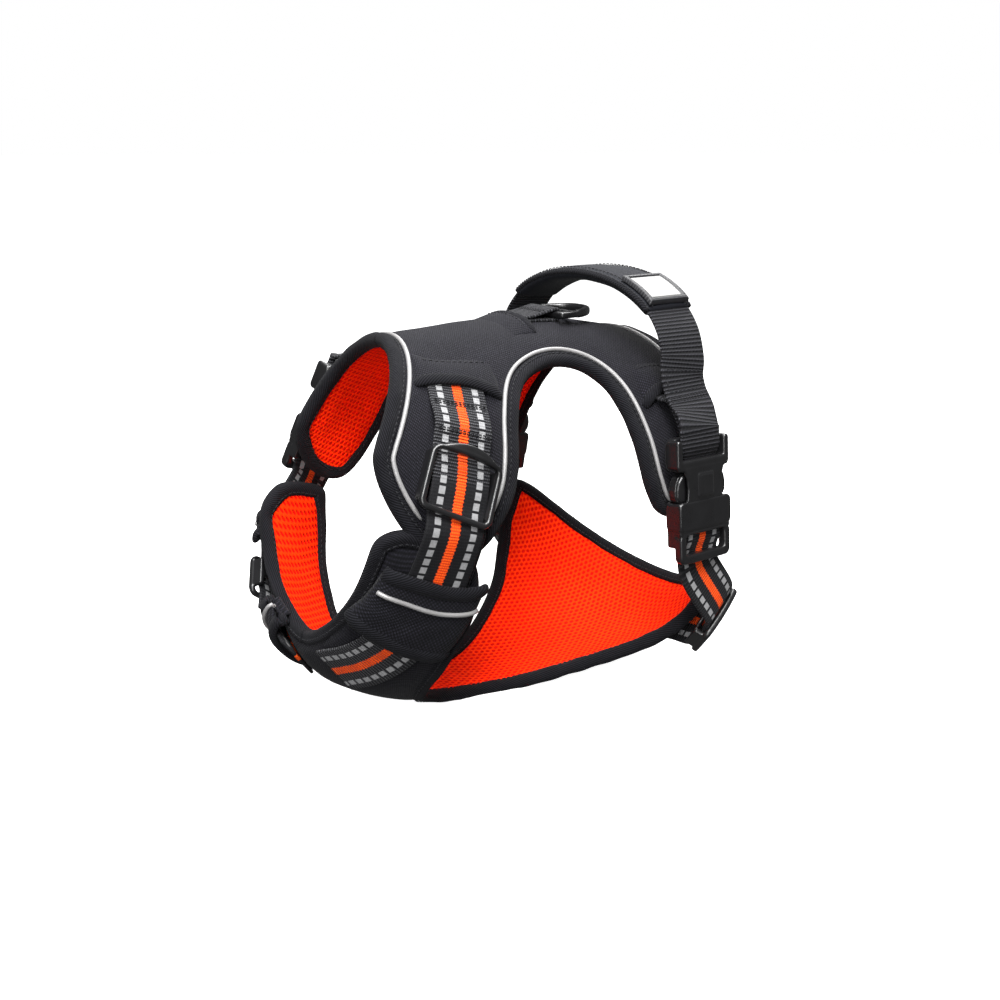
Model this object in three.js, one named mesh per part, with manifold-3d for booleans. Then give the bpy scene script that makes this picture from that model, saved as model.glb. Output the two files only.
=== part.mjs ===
// No-pull dog harness: padded back panel with four lobes, padded chest plate with four arms, webbing
// straps with side-release buckles and slide adjusters, a lifting handle and a leash ring.
// Millimetres. +Z is up, the dog's head is towards -Y, and the dog's left (the near side) is +X.
import * as THREE from 'three';
import { mergeVertices } from 'three/addons/utils/BufferGeometryUtils.js';
import Module from 'manifold-3d';

const wasm = await Module();
wasm.setup();

// ---------------------------------------------------------------- driving dimensions
const NEAR = 1;
const FAR = -1;
const GAP = 0.3;                      // clearance kept between touching pieces

// The harness is worn as a tube round the chest. Each row is one station along the body:
// along 0..1 from the neck edge to the rear edge, y and z of the middle line, half width,
// rise and lean of the sides, roll and twist of the section, and how pointed its middle is.
const BACK_STATIONS = [
  { along: 0.00, y: -83, z: 103, half: 63, rise: -62, lean: -36, roll: -0.08, twist: 0.18, vee: 0 },
  { along: 0.20, y: -53, z: 101.5, half: 78, rise: -94, lean: -33, roll: 0.03, twist: 0.13, vee: 0 },
  { along: 0.55, y: 16, z: 103, half: 86, rise: -109, lean: -15, roll: 0.04, twist: 0, vee: 0 },
  { along: 0.85, y: 66, z: 97, half: 86, rise: -104, lean: -4, roll: 0, twist: -0.1, vee: 0 },
  { along: 1.00, y: 98, z: 92, half: 81, rise: -93, lean: -4, roll: -0.02, twist: -0.14, vee: 0 },
];
const CHEST_STATIONS = [
  { along: 0.00, y: -131, z: -55, half: 69, rise: 70, lean: 4, roll: -0.14, twist: 0.02, vee: 0.3 },
  { along: 0.10, y: -133, z: -67, half: 74, rise: 83, lean: 26, roll: -0.06, twist: 0.01, vee: 0.2 },
  { along: 0.20, y: -117, z: -86, half: 79, rise: 91, lean: 36, roll: 0, twist: 0, vee: 0.1 },
  { along: 0.42, y: -66, z: -109, half: 84, rise: 98, lean: 8, roll: 0.04, twist: -0.05, vee: 0 },
  { along: 0.60, y: -5, z: -114, half: 84, rise: 86, lean: 2, roll: 0.1, twist: -0.05, vee: 0 },
  { along: 0.80, y: 72, z: -95, half: 90, rise: 56, lean: -6, roll: 0.16, twist: -0.06, vee: 0 },
  { along: 1.00, y: 117, z: -64, half: 93, rise: 48, lean: -33, roll: 0.13, twist: -0.07, vee: 0 },
];
const BACK = { stations: BACK_STATIONS, outward: 1 };
const CHEST = { stations: CHEST_STATIONS, outward: -1 };

// Half outline of each panel: [angle from the middle line in degrees, along]. Six spans run out
// to the front tip, six back to the top of the leg hole, six to the rear tip and six to the middle.
const BACK_OUTLINE = [
  [0, 0], [25, 0], [50, 0], [71.5, 0.014], [81.4, 0.057], [87, 0.127],
  [88, 0.21], [84, 0.29], [70.1, 0.343], [50, 0.365], [38, 0.40], [32, 0.47],
  [31, 0.55], [35, 0.62], [44, 0.67], [60, 0.70], [74, 0.72], [84, 0.76],
  [88, 0.84], [86, 0.92], [78, 0.97], [62, 0.99], [42, 1], [20, 1],
  [0, 1],
];
const CHEST_OUTLINE = [
  [0, 0], [30, 0], [58, 0], [74, 0.01], [80.8, 0.038], [85, 0.088],
  [86, 0.16], [83, 0.232], [73.6, 0.278], [56, 0.30], [34, 0.34], [20, 0.395],
  [16, 0.475], [18, 0.55], [27, 0.635], [40, 0.71], [56, 0.765], [69, 0.815],
  [76, 0.89], [74, 0.955], [63, 0.99], [45, 1], [30, 1], [15, 1],
  [0, 1],
];
const BRIDGE_STEPS = 3;               // facets from the middle line to the top of the leg hole
const BRIDGE_END = 0.35;              // where those facets end on the half outline
const EDGE_STEPS = 12;                // facets along each side of a lobe
const TIP = BRIDGE_STEPS + EDGE_STEPS; // outline corners: front tip, leg hole top, rear tip, end
const APEX = TIP + EDGE_STEPS;
const REAR_TIP = APEX + EDGE_STEPS;
const OUTLINE_END = REAR_TIP + TIP;
const PANEL_ROWS = 3;

const SHELL_LAYER = [0.2, 3.2];      // offsets from the body surface
const LINING_LAYER = [-3.4, -0.2];
const BINDING_LAYER = [-3.9, 3.7];
const BINDING_WIDTH = 4.4;
const PANEL_INSET = 8;               // the padding stops this far inside the bound edge
const GROUND_Z = -115;               // the soft chest plate is flattened here where it stands

const WEBBING = 33;                   // one width of webbing throughout
const WEBBING_THICK = 2.2;
const STRAP_OFFSET = 5.6;             // middle of a strap above the body surface
const BUCKLE_LENGTH = 73;
const BUCKLE_WIDTH = 44;
const BUCKLE_BACK = 5;                // depth behind and in front of the strap line
const BUCKLE_FRONT = 6.5;
const SLIDER_LENGTH = 36;
const SHORT_SLIDER = 26;
const SLIDER_WIDTH = 44;
const PRONG_ROOT_Y = 17;

// ---------------------------------------------------------------- materials
const COLOURS = {
  shell: [0x15161a, 0.85, 0],
  lining: [0xff4a1a, 0.8, 0],
  binding: [0x0d0e11, 0.9, 0],
  piping: [0xc9ced2, 0.35, 0.1],
  webbing: [0x17181b, 0.8, 0],
  plastic: [0x0c0d0f, 0.35, 0],
  ring: [0x16171a, 0.3, 0.6],
  grip: [0x121317, 0.7, 0],
  patch: [0x1b1c1f, 0.6, 0],
  panel: [0xb9bcc0, 0.5, 0],
};

const harness = new THREE.Group();

function addPiece(name, geometry, look) {
  const [color, roughness, metalness] = COLOURS[look];
  const mesh = new THREE.Mesh(geometry, new THREE.MeshStandardMaterial({ color, roughness, metalness }));
  mesh.name = name;
  harness.add(mesh);
  return mesh;
}

// ---------------------------------------------------------------- small helpers
const radians = THREE.MathUtils.degToRad;
const vec = (x, y, z) => new THREE.Vector3(x, y, z);

// Value of one column of a station table, on a smooth curve through the rows.
function stationValue(stations, key, along) {
  const last = stations.length - 1;
  const found = stations.findIndex((row) => row.along > along);
  const i = found < 0 ? last - 1 : Math.max(0, Math.min(found - 1, last - 1));
  const slope = (k) => {
    const a = stations[Math.max(0, k - 1)];
    const b = stations[Math.min(last, k + 1)];
    return (b[key] - a[key]) / (b.along - a.along);
  };
  const [from, to] = [stations[i], stations[i + 1]];
  const span = to.along - from.along;
  const s = (along - from.along) / span;
  const start = (2 * s ** 3 - 3 * s ** 2 + 1) * from[key] + (s ** 3 - 2 * s ** 2 + s) * span * slope(i);
  return start + (3 * s ** 2 - 2 * s ** 3) * to[key] + (s ** 3 - s ** 2) * span * slope(i + 1);
}

// Point on the body surface of a panel at an angle from its middle line.
function surfacePoint(panel, angle, along) {
  const value = (key) => stationValue(panel.stations, key, along);
  const sine = Math.sin(radians(angle));
  const round = 1 - Math.cos(radians(angle));
  const soft = 0.15;
  const pointed = (Math.hypot(sine, soft) - soft) / (Math.hypot(1, soft) - soft);
  const vee = value('vee');
  const x = value('half') * sine;
  const y = value('y') + value('lean') * round - value('twist') * x;
  const z = value('z') + value('rise') * (round * (1 - vee) + pointed * vee) - value('roll') * x;
  return vec(x, y, z);
}

function surfaceTangents(panel, angle, along) {
  const da = 0.5;
  const dt = 0.004;
  const across = surfacePoint(panel, angle + da, along).sub(surfacePoint(panel, angle - da, along));
  const down = surfacePoint(panel, angle, along + dt).sub(surfacePoint(panel, angle, along - dt));
  return [across.divideScalar(2 * da), down.divideScalar(2 * dt)];
}

function surfaceNormal(panel, angle, along) {
  const [across, down] = surfaceTangents(panel, angle, along);
  return across.cross(down).normalize().multiplyScalar(panel.outward);
}

function offsetPoint(panel, angle, along, offset) {
  const point = surfacePoint(panel, angle, along);
  return point.addScaledVector(surfaceNormal(panel, angle, along), offset);
}

// Closed solid from a list of triangles; turned the right way out if it comes out inside out.
function solidFromTriangles(triangles) {
  const raw = new THREE.BufferGeometry();
  raw.setAttribute('position', new THREE.Float32BufferAttribute(triangles.flatMap((p) => p.toArray()), 3));
  const merged = mergeVertices(raw, 1e-3);
  const index = merged.getIndex().array;
  const kept = [];
  for (let i = 0; i < index.length; i += 3) {
    const [a, b, c] = [index[i], index[i + 1], index[i + 2]];
    if (a !== b && b !== c && c !== a) kept.push(a, b, c);
  }
  merged.setIndex(signedVolume(merged, kept) < 0 ? kept.reverse() : kept);
  merged.computeVertexNormals();
  return merged;
}

function signedVolume(geometry, index) {
  const position = geometry.getAttribute('position');
  const corner = [vec(0, 0, 0), vec(0, 0, 0), vec(0, 0, 0)];
  let volume = 0;
  for (let i = 0; i < index.length; i += 3) {
    corner.forEach((p, k) => p.fromBufferAttribute(position, index[i + k]));
    volume += corner[0].dot(corner[1].clone().cross(corner[2])) / 6;
  }
  return volume;
}

// Sweeps a flat section along frames {origin, x, z}; the section is a list of [x, z] pairs.
function sweep(frames, section, closed = false) {
  const rings = frames.map(({ origin, x, z }) => section.map(([a, b]) => (
    origin.clone().addScaledVector(x, a).addScaledVector(z, b))));
  const triangles = [];
  const count = closed ? rings.length : rings.length - 1;
  for (let i = 0; i < count; i += 1) {
    const here = rings[i];
    const next = rings[(i + 1) % rings.length];
    section.forEach((_, k) => {
      const m = (k + 1) % section.length;
      triangles.push(here[k], here[m], next[m], here[k], next[m], next[k]);
    });
  }
  if (!closed) {
    const caps = THREE.ShapeUtils.triangulateShape(section.map(([a, b]) => new THREE.Vector2(a, b)), []);
    const end = rings[rings.length - 1];
    caps.forEach(([a, b, c]) => triangles.push(rings[0][c], rings[0][b], rings[0][a], end[a], end[b], end[c]));
  }
  return solidFromTriangles(triangles);
}

// Frames along a smooth path, a few to each span: each knot is [point, outward direction].
function pathFrames(knots, perSpan) {
  const curve = new THREE.CatmullRomCurve3(knots.map(([point]) => point), false, 'centripetal');
  const spans = knots.length - 1;
  return Array.from({ length: spans * perSpan + 1 }, (_, i) => {
    const k = Math.min(Math.floor(i / perSpan), spans - 1);
    const outward = knots[k][1].clone().lerp(knots[k + 1][1], i / perSpan - k);
    const t = i / (spans * perSpan);
    const y = curve.getTangent(t);
    const x = y.clone().cross(outward).normalize();
    return { origin: curve.getPoint(t), x, y, z: x.clone().cross(y).normalize() };
  });
}

const flatSection = (width, low, high) => [
  [-width / 2, low], [width / 2, low], [width / 2, high], [-width / 2, high]];

function roundedSection(width, low, high, corner) {
  const w = width / 2;
  return [[-w + corner, low], [w - corner, low], [w, low + corner], [w, high - corner],
    [w - corner, high], [-w + corner, high], [-w, high - corner], [-w, low + corner]];
}

// ---------------------------------------------------------------- manifold booleans
function toManifold(geometry) {
  const plain = geometry.clone();
  plain.deleteAttribute('normal');
  plain.deleteAttribute('uv');
  const merged = mergeVertices(plain, 1e-4);
  const vertProperties = new Float32Array(merged.getAttribute('position').array);
  const triVerts = new Uint32Array(merged.getIndex().array);
  return new wasm.Manifold(new wasm.Mesh({ numProp: 3, vertProperties, triVerts }));
}

function fromManifold(solid) {
  const mesh = solid.getMesh();
  const geometry = new THREE.BufferGeometry();
  geometry.setAttribute('position', new THREE.BufferAttribute(new Float32Array(mesh.vertProperties), 3));
  geometry.setIndex(new THREE.BufferAttribute(new Uint32Array(mesh.triVerts), 1));
  geometry.computeVertexNormals();
  return geometry;
}

const joined = (pieces) => pieces.map(toManifold).reduce((a, b) => a.add(b));

function cutFrom(solid, cutters) {
  return cutters.map(toManifold).reduce((a, b) => a.subtract(b), solid);
}

// Box between two corners.
function box(x0, x1, y0, y1, z0, z1) {
  const geometry = new THREE.BoxGeometry(x1 - x0, y1 - y0, z1 - z0);
  return geometry.translate((x0 + x1) / 2, (y0 + y1) / 2, (z0 + z1) / 2);
}

function roundedRectShape(x0, x1, y0, y1, radius) {
  const shape = new THREE.Shape();
  shape.moveTo(x0 + radius, y0);
  shape.lineTo(x1 - radius, y0);
  shape.absarc(x1 - radius, y0 + radius, radius, -Math.PI / 2, 0);
  shape.lineTo(x1, y1 - radius);
  shape.absarc(x1 - radius, y1 - radius, radius, 0, Math.PI / 2);
  shape.lineTo(x0 + radius, y1);
  shape.absarc(x0 + radius, y1 - radius, radius, Math.PI / 2, Math.PI);
  shape.lineTo(x0, y0 + radius);
  shape.absarc(x0 + radius, y0 + radius, radius, Math.PI, 1.5 * Math.PI);
  return shape;
}

// Flat plate from a shape between two heights, with small bevels on both faces.
function plate(shape, low, high, bevel = 0.8, curveSegments = 3) {
  const geometry = new THREE.ExtrudeGeometry(shape, {
    depth: high - low - 2 * bevel,
    bevelEnabled: bevel > 0,
    bevelThickness: bevel,
    bevelSize: bevel,
    bevelOffset: -bevel,
    bevelSegments: 1,
    curveSegments,
  });
  return geometry.translate(0, 0, low + bevel);
}

// ---------------------------------------------------------------- panels
// Places along a half outline, in spans: short facets near the middle line, where the leg hole
// is bridged, then facets round the lobes.
function outlineParameters() {
  const outer = [];
  for (let i = 0; i <= BRIDGE_STEPS; i += 1) outer.push(BRIDGE_END * i / BRIDGE_STEPS);
  for (let i = 1; i <= EDGE_STEPS; i += 1) outer.push(BRIDGE_END + (6 - BRIDGE_END) * i / EDGE_STEPS);
  const inner = [];
  for (let i = 1; i <= 2 * EDGE_STEPS; i += 1) inner.push(6 + 6 * i / EDGE_STEPS);
  const rear = outer.slice(0, -1).reverse().map((place) => 24 - place);
  return [...outer, ...inner, ...rear];
}

// Facet corners round half of a panel's edge, in [angle, along].
function halfOutline(outline) {
  const curve = new THREE.CatmullRomCurve3(outline.map(([a, t]) => vec(a, t * 100, 0)), false, 'catmullrom');
  return outlineParameters().map((place) => {
    const p = curve.getPoint(place / 24);
    return [Math.max(0, p.x), THREE.MathUtils.clamp(p.y / 100, 0, 1)];
  });
}

// Unit direction out over the edge, at each facet corner of the half outline.
function edgeDirections(panel, points, side) {
  return points.map(([angle, along], i) => {
    const before = i === 0 ? [-points[1][0], points[1][1]] : points[i - 1];
    const last = points.length - 1;
    const after = i === last ? [-points[last - 1][0], points[last - 1][1]] : points[i + 1];
    const a = surfacePoint(panel, side * before[0], before[1]);
    const b = surfacePoint(panel, side * after[0], after[1]);
    const tangent = b.sub(a).normalize();
    const normal = surfaceNormal(panel, side * angle, along);
    return tangent.cross(normal).normalize().multiplyScalar(side * panel.outward);
  });
}

// Moves an [angle, along] pair over the surface by a distance in a given direction.
function moveOverSurface(panel, side, [angle, along], direction, distance) {
  const [across, down] = surfaceTangents(panel, side * angle, along);
  const wanted = direction.clone().multiplyScalar(distance);
  const [aa, ad, dd] = [across.dot(across), across.dot(down), down.dot(down)];
  const [wa, wd] = [wanted.dot(across), wanted.dot(down)];
  const det = aa * dd - ad * ad;
  const moved = side * angle + (wa * dd - wd * ad) / det;
  return [Math.max(0, side * moved), along + (wd * aa - wa * ad) / det];
}

function insetOutline(panel, points, side, distance) {
  const directions = edgeDirections(panel, points, side);
  return points.map((point, i) => {
    const moved = moveOverSurface(panel, side, point, directions[i], -distance);
    const onMiddle = i === 0 || i === points.length - 1;
    return onMiddle ? [0, moved[1]] : moved;
  });
}

// Rungs across the front and rear strips of half a panel: [outer point, inner point, is inner an edge].
function panelRungs(points, middleAlong) {
  const bridge = (i) => {
    const f = i / BRIDGE_STEPS;
    return [points[APEX][0] * f, middleAlong + (points[APEX][1] - middleAlong) * f];
  };
  const strips = [[], []];
  for (let i = 0; i <= TIP; i += 1) {
    const open = i > BRIDGE_STEPS;
    strips[0].push([points[i], open ? points[APEX - (i - BRIDGE_STEPS)] : bridge(i), open]);
    strips[1].push([points[OUTLINE_END - i], open ? points[APEX + (i - BRIDGE_STEPS)] : bridge(i), open]);
  }
  return strips;
}

// One layer of a padded panel: all four lobes in one closed solid.
function panelLayer(panel, outline, inset, [low, high]) {
  const triangles = [];
  const quad = (a, b, c, d) => triangles.push(a, b, c, a, c, d);
  [NEAR, FAR].forEach((side) => {
    const points = insetOutline(panel, halfOutline(outline), side, inset);
    panelRungs(points, outline[12][1]).forEach((rungs, stripIndex) => {
      const at = ([angle, along], offset) => settle(panel, offsetPoint(panel, side * angle, along, offset));
      const grid = rungs.map(([outer, inner]) => Array.from({ length: PANEL_ROWS + 1 }, (_, r) => {
        const f = r / PANEL_ROWS;
        const uv = [outer[0] + (inner[0] - outer[0]) * f, outer[1] + (inner[1] - outer[1]) * f];
        return [at(uv, low), at(uv, high)];
      }));
      const flip = (side === FAR) !== (stripIndex === 1);
      const face = flip ? (a, b, c, d) => quad(a, d, c, b) : quad;
      for (let i = 0; i < grid.length - 1; i += 1) {
        const [here, next] = [grid[i], grid[i + 1]];
        for (let r = 0; r < PANEL_ROWS; r += 1) {
          face(here[r][1], next[r][1], next[r + 1][1], here[r + 1][1]);
          face(here[r][0], here[r + 1][0], next[r + 1][0], next[r][0]);
        }
        face(here[0][0], next[0][0], next[0][1], here[0][1]);
        if (rungs[i + 1][2]) {
          const r = PANEL_ROWS;
          face(here[r][1], next[r][1], next[r][0], here[r][0]);
        }
      }
    });
  });
  return solidFromTriangles(triangles);
}

// The chest plate's underside is pressed flat where the harness stands.
function settle(panel, point) {
  if (panel === CHEST) point.z = Math.max(point.z, GROUND_Z);
  return point;
}

// Frames all the way round a panel's edge, with x pointing out over the edge.
function edgeFrames(panel, outline) {
  const half = halfOutline(outline);
  const frames = [NEAR, FAR].map((side) => {
    const directions = edgeDirections(panel, half, side);
    return half.map(([angle, along], i) => ({
      origin: surfacePoint(panel, side * angle, along),
      x: directions[i],
      z: surfaceNormal(panel, side * angle, along),
    }));
  });
  return [...frames[0], ...frames[1].reverse().slice(1, -1)];
}

function binding(panel, outline) {
  const [low, high] = BINDING_LAYER;
  const w = BINDING_WIDTH;
  const section = [[-w, low], [-1.2, low], [0, low + 1.6], [0, high - 1.6], [-1.2, high], [-w, high]];
  const geometry = sweep(edgeFrames(panel, outline), section, true);
  const position = geometry.getAttribute('position');
  for (let i = 0; i < position.count; i += 1) {
    const point = settle(panel, vec(0, 0, 0).fromBufferAttribute(position, i));
    position.setXYZ(i, point.x, point.y, point.z);
  }
  return geometry;
}

function buildPanels() {
  addPiece('back_panel_shell', panelLayer(BACK, BACK_OUTLINE, PANEL_INSET, SHELL_LAYER), 'shell');
  addPiece('back_panel_lining', panelLayer(BACK, BACK_OUTLINE, PANEL_INSET, LINING_LAYER), 'lining');
  addPiece('back_panel_binding', binding(BACK, BACK_OUTLINE), 'binding');
  addPiece('chest_plate_shell', panelLayer(CHEST, CHEST_OUTLINE, PANEL_INSET, SHELL_LAYER), 'shell');
  addPiece('chest_plate_lining', panelLayer(CHEST, CHEST_OUTLINE, PANEL_INSET, LINING_LAYER), 'lining');
  addPiece('chest_plate_binding', binding(CHEST, CHEST_OUTLINE), 'binding');
}

// ---------------------------------------------------------------- reflective piping
const PIPING_INSET = 9;
const PIPING_LAYER = [3.8, 5.0];

function pipingRun(side, from, to) {
  const points = insetOutline(BACK, halfOutline(BACK_OUTLINE), side, PIPING_INSET);
  return points.slice(from, to + 1).map(([angle, along]) => [side * angle, along]);
}

function pipingStrip(pairs) {
  const knots = pairs.map(([angle, along]) => [
    surfacePoint(BACK, angle, along), surfaceNormal(BACK, angle, along)]);
  return sweep(pathFrames(knots, 1), flatSection(2.4, ...PIPING_LAYER));
}

function buildPiping() {
  const across = (near, far) => [...far.slice().reverse(), ...near.slice(1)];
  const neck = across(pipingRun(NEAR, 0, TIP - 3), pipingRun(FAR, 0, TIP - 3));
  addPiece('neck_piping', pipingStrip(neck), 'piping');
  const rearNear = pipingRun(NEAR, REAR_TIP + 3, OUTLINE_END).reverse();
  const rearFar = pipingRun(FAR, REAR_TIP + 3, OUTLINE_END).reverse();
  addPiece('rear_piping', pipingStrip(across(rearNear, rearFar)), 'piping');
  addPiece('leg_piping_near', pipingStrip(pipingRun(NEAR, TIP + 3, APEX + 9)), 'piping');
  addPiece('leg_piping_far', pipingStrip(pipingRun(FAR, TIP + 3, APEX + 9)), 'piping');
}

// ---------------------------------------------------------------- side-release buckles
// Local frame: x across the strap, y up towards the male half, z away from the dog.
const SLOT_HALF = 17.8;

function buckleMale() {
  const half = BUCKLE_WIDTH / 2;
  const top = BUCKLE_LENGTH / 2;
  const loop = plate(roundedRectShape(-half, half, PRONG_ROOT_Y + 0.6, top, 5), -BUCKLE_BACK, 6, 1.2);
  const waist = box(-10, 10, 0.8, 20, -4.4, 5.2);
  const guide = box(-4, 4, -14, 3, -2.6, 2.6);
  const slot = box(-SLOT_HALF, SLOT_HALF, 23.5, 32.5, -10, 10);
  const frontOfBar = box(-SLOT_HALF, SLOT_HALF, 28, 45, 1.2, 10);
  const behindBody = box(-SLOT_HALF, SLOT_HALF, 20, 26, -10, -2.2);
  return fromManifold(cutFrom(joined([loop, waist, guide]), [slot, frontOfBar, behindBody]));
}

function buckleFemale() {
  const half = BUCKLE_WIDTH / 2;
  const bottom = -BUCKLE_LENGTH / 2;
  const body = plate(roundedRectShape(-half, half, bottom, 0, 5), -BUCKLE_BACK, BUCKLE_FRONT, 1.4);
  const cavity = box(-18.6, 18.6, -16.5, 4, -3.4, 3.4);
  const slot = box(-SLOT_HALF, SLOT_HALF, -31.5, -19.5, -10, 10);
  const behindBar = box(-SLOT_HALF, SLOT_HALF, -45, -26, -10, 0.6);
  return fromManifold(cutFrom(toManifold(body), [cavity, slot, behindBar]));
}

// Springy side prong: its tip is inside the female half and its bulge shows above the shoulder.
function buckleProng(side) {
  const outline = [[12.2, -12], [14, -15], [17, -15.4], [18, -13], [18, -0.6], [21.2, 1.2], [21.8, 6],
    [20.6, 11.5], [17.6, 15.4], [15.5, PRONG_ROOT_Y]];
  const shape = new THREE.Shape();
  shape.moveTo(12.2, PRONG_ROOT_Y);
  outline.forEach(([x, y]) => shape.lineTo(x, y));
  const geometry = plate(shape, -2.7, 2.7, 0.5);
  return side === NEAR ? geometry : geometry.rotateY(Math.PI);
}

// Places a shape built in a local frame; the frame's z points away from the dog.
function place(geometry, centre, across, outward) {
  const y = outward.clone().cross(across).normalize();
  const x = y.clone().cross(outward).normalize();
  const matrix = new THREE.Matrix4().makeBasis(x, y, outward.clone().normalize()).setPosition(centre);
  return geometry.applyMatrix4(matrix);
}

function addBuckle(name, run) {
  const put = (geometry) => place(geometry, run.centre, run.across, run.outward);
  addPiece(`${name}_male`, put(buckleMale()), 'plastic');
  addPiece(`${name}_female`, put(buckleFemale()), 'plastic');
  addPiece(`${name}_prong_a`, put(buckleProng(NEAR)), 'plastic');
  addPiece(`${name}_prong_b`, put(buckleProng(FAR)), 'plastic');
}

// ---------------------------------------------------------------- slide adjusters
// The end bars ride over the strap and the middle bar under it, so the strap runs straight through.
function slider(length) {
  const w = SLIDER_WIDTH / 2;
  const l = length / 2;
  const frame = roundedRectShape(-w, w, -l, l, 6);
  frame.holes.push(roundedRectShape(-w + 5, w - 5, -l + 5, l - 7, 1.5));
  const rail = (x0, x1) => box(x0, x1, -l + 7, l - 7, -4.2, 3);
  const middle = box(-w + 1, w - 1, -3, 3, -4.2, -1.8);
  const outer = w - 0.8;
  return fromManifold(joined([plate(frame, 1.8, 5.2, 0.9), rail(17.3, outer), rail(-outer, -17.3), middle]));
}

function addSlider(name, run, length) {
  addPiece(name, place(slider(length), run.centre, run.across, run.outward), 'plastic');
}

// ---------------------------------------------------------------- straps
function addStrap(name, knots, perSpan = 3, width = WEBBING) {
  const half = WEBBING_THICK / 2;
  addPiece(name, sweep(pathFrames(knots, perSpan), flatSection(width, -half, half)), 'webbing');
}

// A knot of a path: a point a given height above a panel, and the direction out of the panel.
const above = (panel, angle, along, offset) => [
  offsetPoint(panel, angle, along, offset), surfaceNormal(panel, angle, along)];

// Straight piece of a path from one knot down to another, with a centre to sit a fitting on.
function straightRun(from, to) {
  const up = from[0].clone().sub(to[0]).normalize();
  const mean = from[1].clone().add(to[1]);
  const outward = mean.addScaledVector(up, -mean.dot(up)).normalize();
  const centre = from[0].clone().add(to[0]).multiplyScalar(0.5);
  return { centre, up, outward, across: up.clone().cross(outward) };
}

// Straight run that lies flat over a panel, above one of its points.
function flatRun(panel, angle, along, lift) {
  const [centre, outward] = above(panel, angle, along, lift);
  const up = surfaceTangents(panel, angle, along)[0].normalize().multiplyScalar(-Math.sign(angle) * panel.outward);
  return { centre, up, outward, across: up.clone().cross(outward) };
}

// Knot in the local frame of a run: y up it and z out of it.
const onRun = (run, y, z = 0) => [
  run.centre.clone().addScaledVector(run.up, y).addScaledVector(run.outward, z), run.outward];

// Knots for a strap that runs dead straight through a slider.
function throughSlider(run, length, travel) {
  const straight = length / 2 + travel;
  return [straight + 3, straight, -straight, -straight - 3].map((y) => onRun(run, y));
}

const SHOULDER_ALONG = 0.2;           // where the shoulder straps run on the front lobes
const STRAP_ON_BAR = 2.7;             // strap height over the male bar of a buckle
const STRAP_BEHIND_BAR = -0.9;        // strap height behind the female bar
const strapIntoMale = (buckle) => [43, 38, 24.8].map((y) => onRun(buckle, y, STRAP_ON_BAR));
const strapFromFemale = (buckle) => [-21, -38, -43].map((y) => onRun(buckle, y, STRAP_BEHIND_BAR));

function buildNearShoulder() {
  const run = straightRun(above(BACK, 55, SHOULDER_ALONG, 10.2), above(BACK, 82, SHOULDER_ALONG, 12.4));
  addStrap('shoulder_strap_near', [
    above(BACK, 34, SHOULDER_ALONG, STRAP_OFFSET),
    above(BACK, 44, SHOULDER_ALONG, STRAP_OFFSET + 1),
    ...throughSlider(run, SLIDER_LENGTH, 7),
    above(CHEST, 76, 0.165, 7.2),
    ...[[67, 0.17], [57, 0.17], [46, 0.165], [34, 0.155], [20, 0.14]].map(([angle, along]) => (
      above(CHEST, angle, along, STRAP_OFFSET + 0.8))),
  ]);
  addSlider('shoulder_slider_near', run, SLIDER_LENGTH);
}

function buildFarShoulder() {
  const buckle = flatRun(BACK, -72, SHOULDER_ALONG, 10.4);
  addBuckle('neck_buckle', buckle);
  addStrap('shoulder_strap_far', [
    above(BACK, -27, SHOULDER_ALONG, STRAP_OFFSET),
    above(BACK, -33, SHOULDER_ALONG, STRAP_OFFSET + 0.5),
    ...strapIntoMale(buckle),
  ]);
  const slide = straightRun(above(CHEST, -58, 0.165, 10.8), above(CHEST, -38, 0.157, 10.8));
  addStrap('chest_strap_far', [
    ...strapFromFemale(buckle),
    above(CHEST, -74, 0.17, STRAP_OFFSET + 1.6),
    above(CHEST, -65, 0.17, STRAP_OFFSET + 1.4),
    ...throughSlider(slide, SHORT_SLIDER, 3),
    above(CHEST, -30.5, 0.152, STRAP_OFFSET + 1),
    above(CHEST, -21, 0.146, STRAP_OFFSET + 0.8),
    above(CHEST, -9, 0.14, STRAP_OFFSET + 0.6),
  ]);
  addSlider('chest_slider_far', slide, SHORT_SLIDER);
}

// ---------------------------------------------------------------- keepers and strap covers
// Fabric sleeve over a strap: a channel whose legs stand on the panel.
function keeper(name, panel, pairs, width) {
  const w = width / 2;
  const [foot, under, top, leg] = [4.3, 8.8, 12, 6];
  const section = [[-w, foot], [-w + leg, foot], [-w + leg, under], [w - leg, under], [w - leg, foot],
    [w, foot], [w, top - 2.5], [w - 3, top], [-w + 3, top], [-w, top - 2.5]];
  const knots = pairs.map(([angle, along]) => [
    surfacePoint(panel, angle, along), surfaceNormal(panel, angle, along)]);
  addPiece(name, sweep(pathFrames(knots, 2), section), 'binding');
  const bead = pathFrames(knots, 4).slice(1, 3);
  addPiece(`${name}_piping`, sweep(bead, flatSection(width - 9, top + GAP, top + 1.3)), 'piping');
}

// Curved flap that covers the sewn end of a strap on the back panel.
function strapCover(name, side, middle, reach, first) {
  const rows = [[0, 3.9, 4.8], [4, 7.4, 8.6], [8, 7.8, 9.6], [12.5, 8.8, 10.8]];
  const grid = rows.map(([step, low, high]) => Array.from({ length: 9 }, (_, i) => {
    const s = (i - 4) / 4;
    const along = middle + reach * s;
    const bent = side * (first + step - 3 * s * s);
    return [offsetPoint(BACK, bent, along, low), offsetPoint(BACK, bent, along, high)];
  }));
  addPiece(name, slabSolid(grid), 'shell');
}

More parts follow.
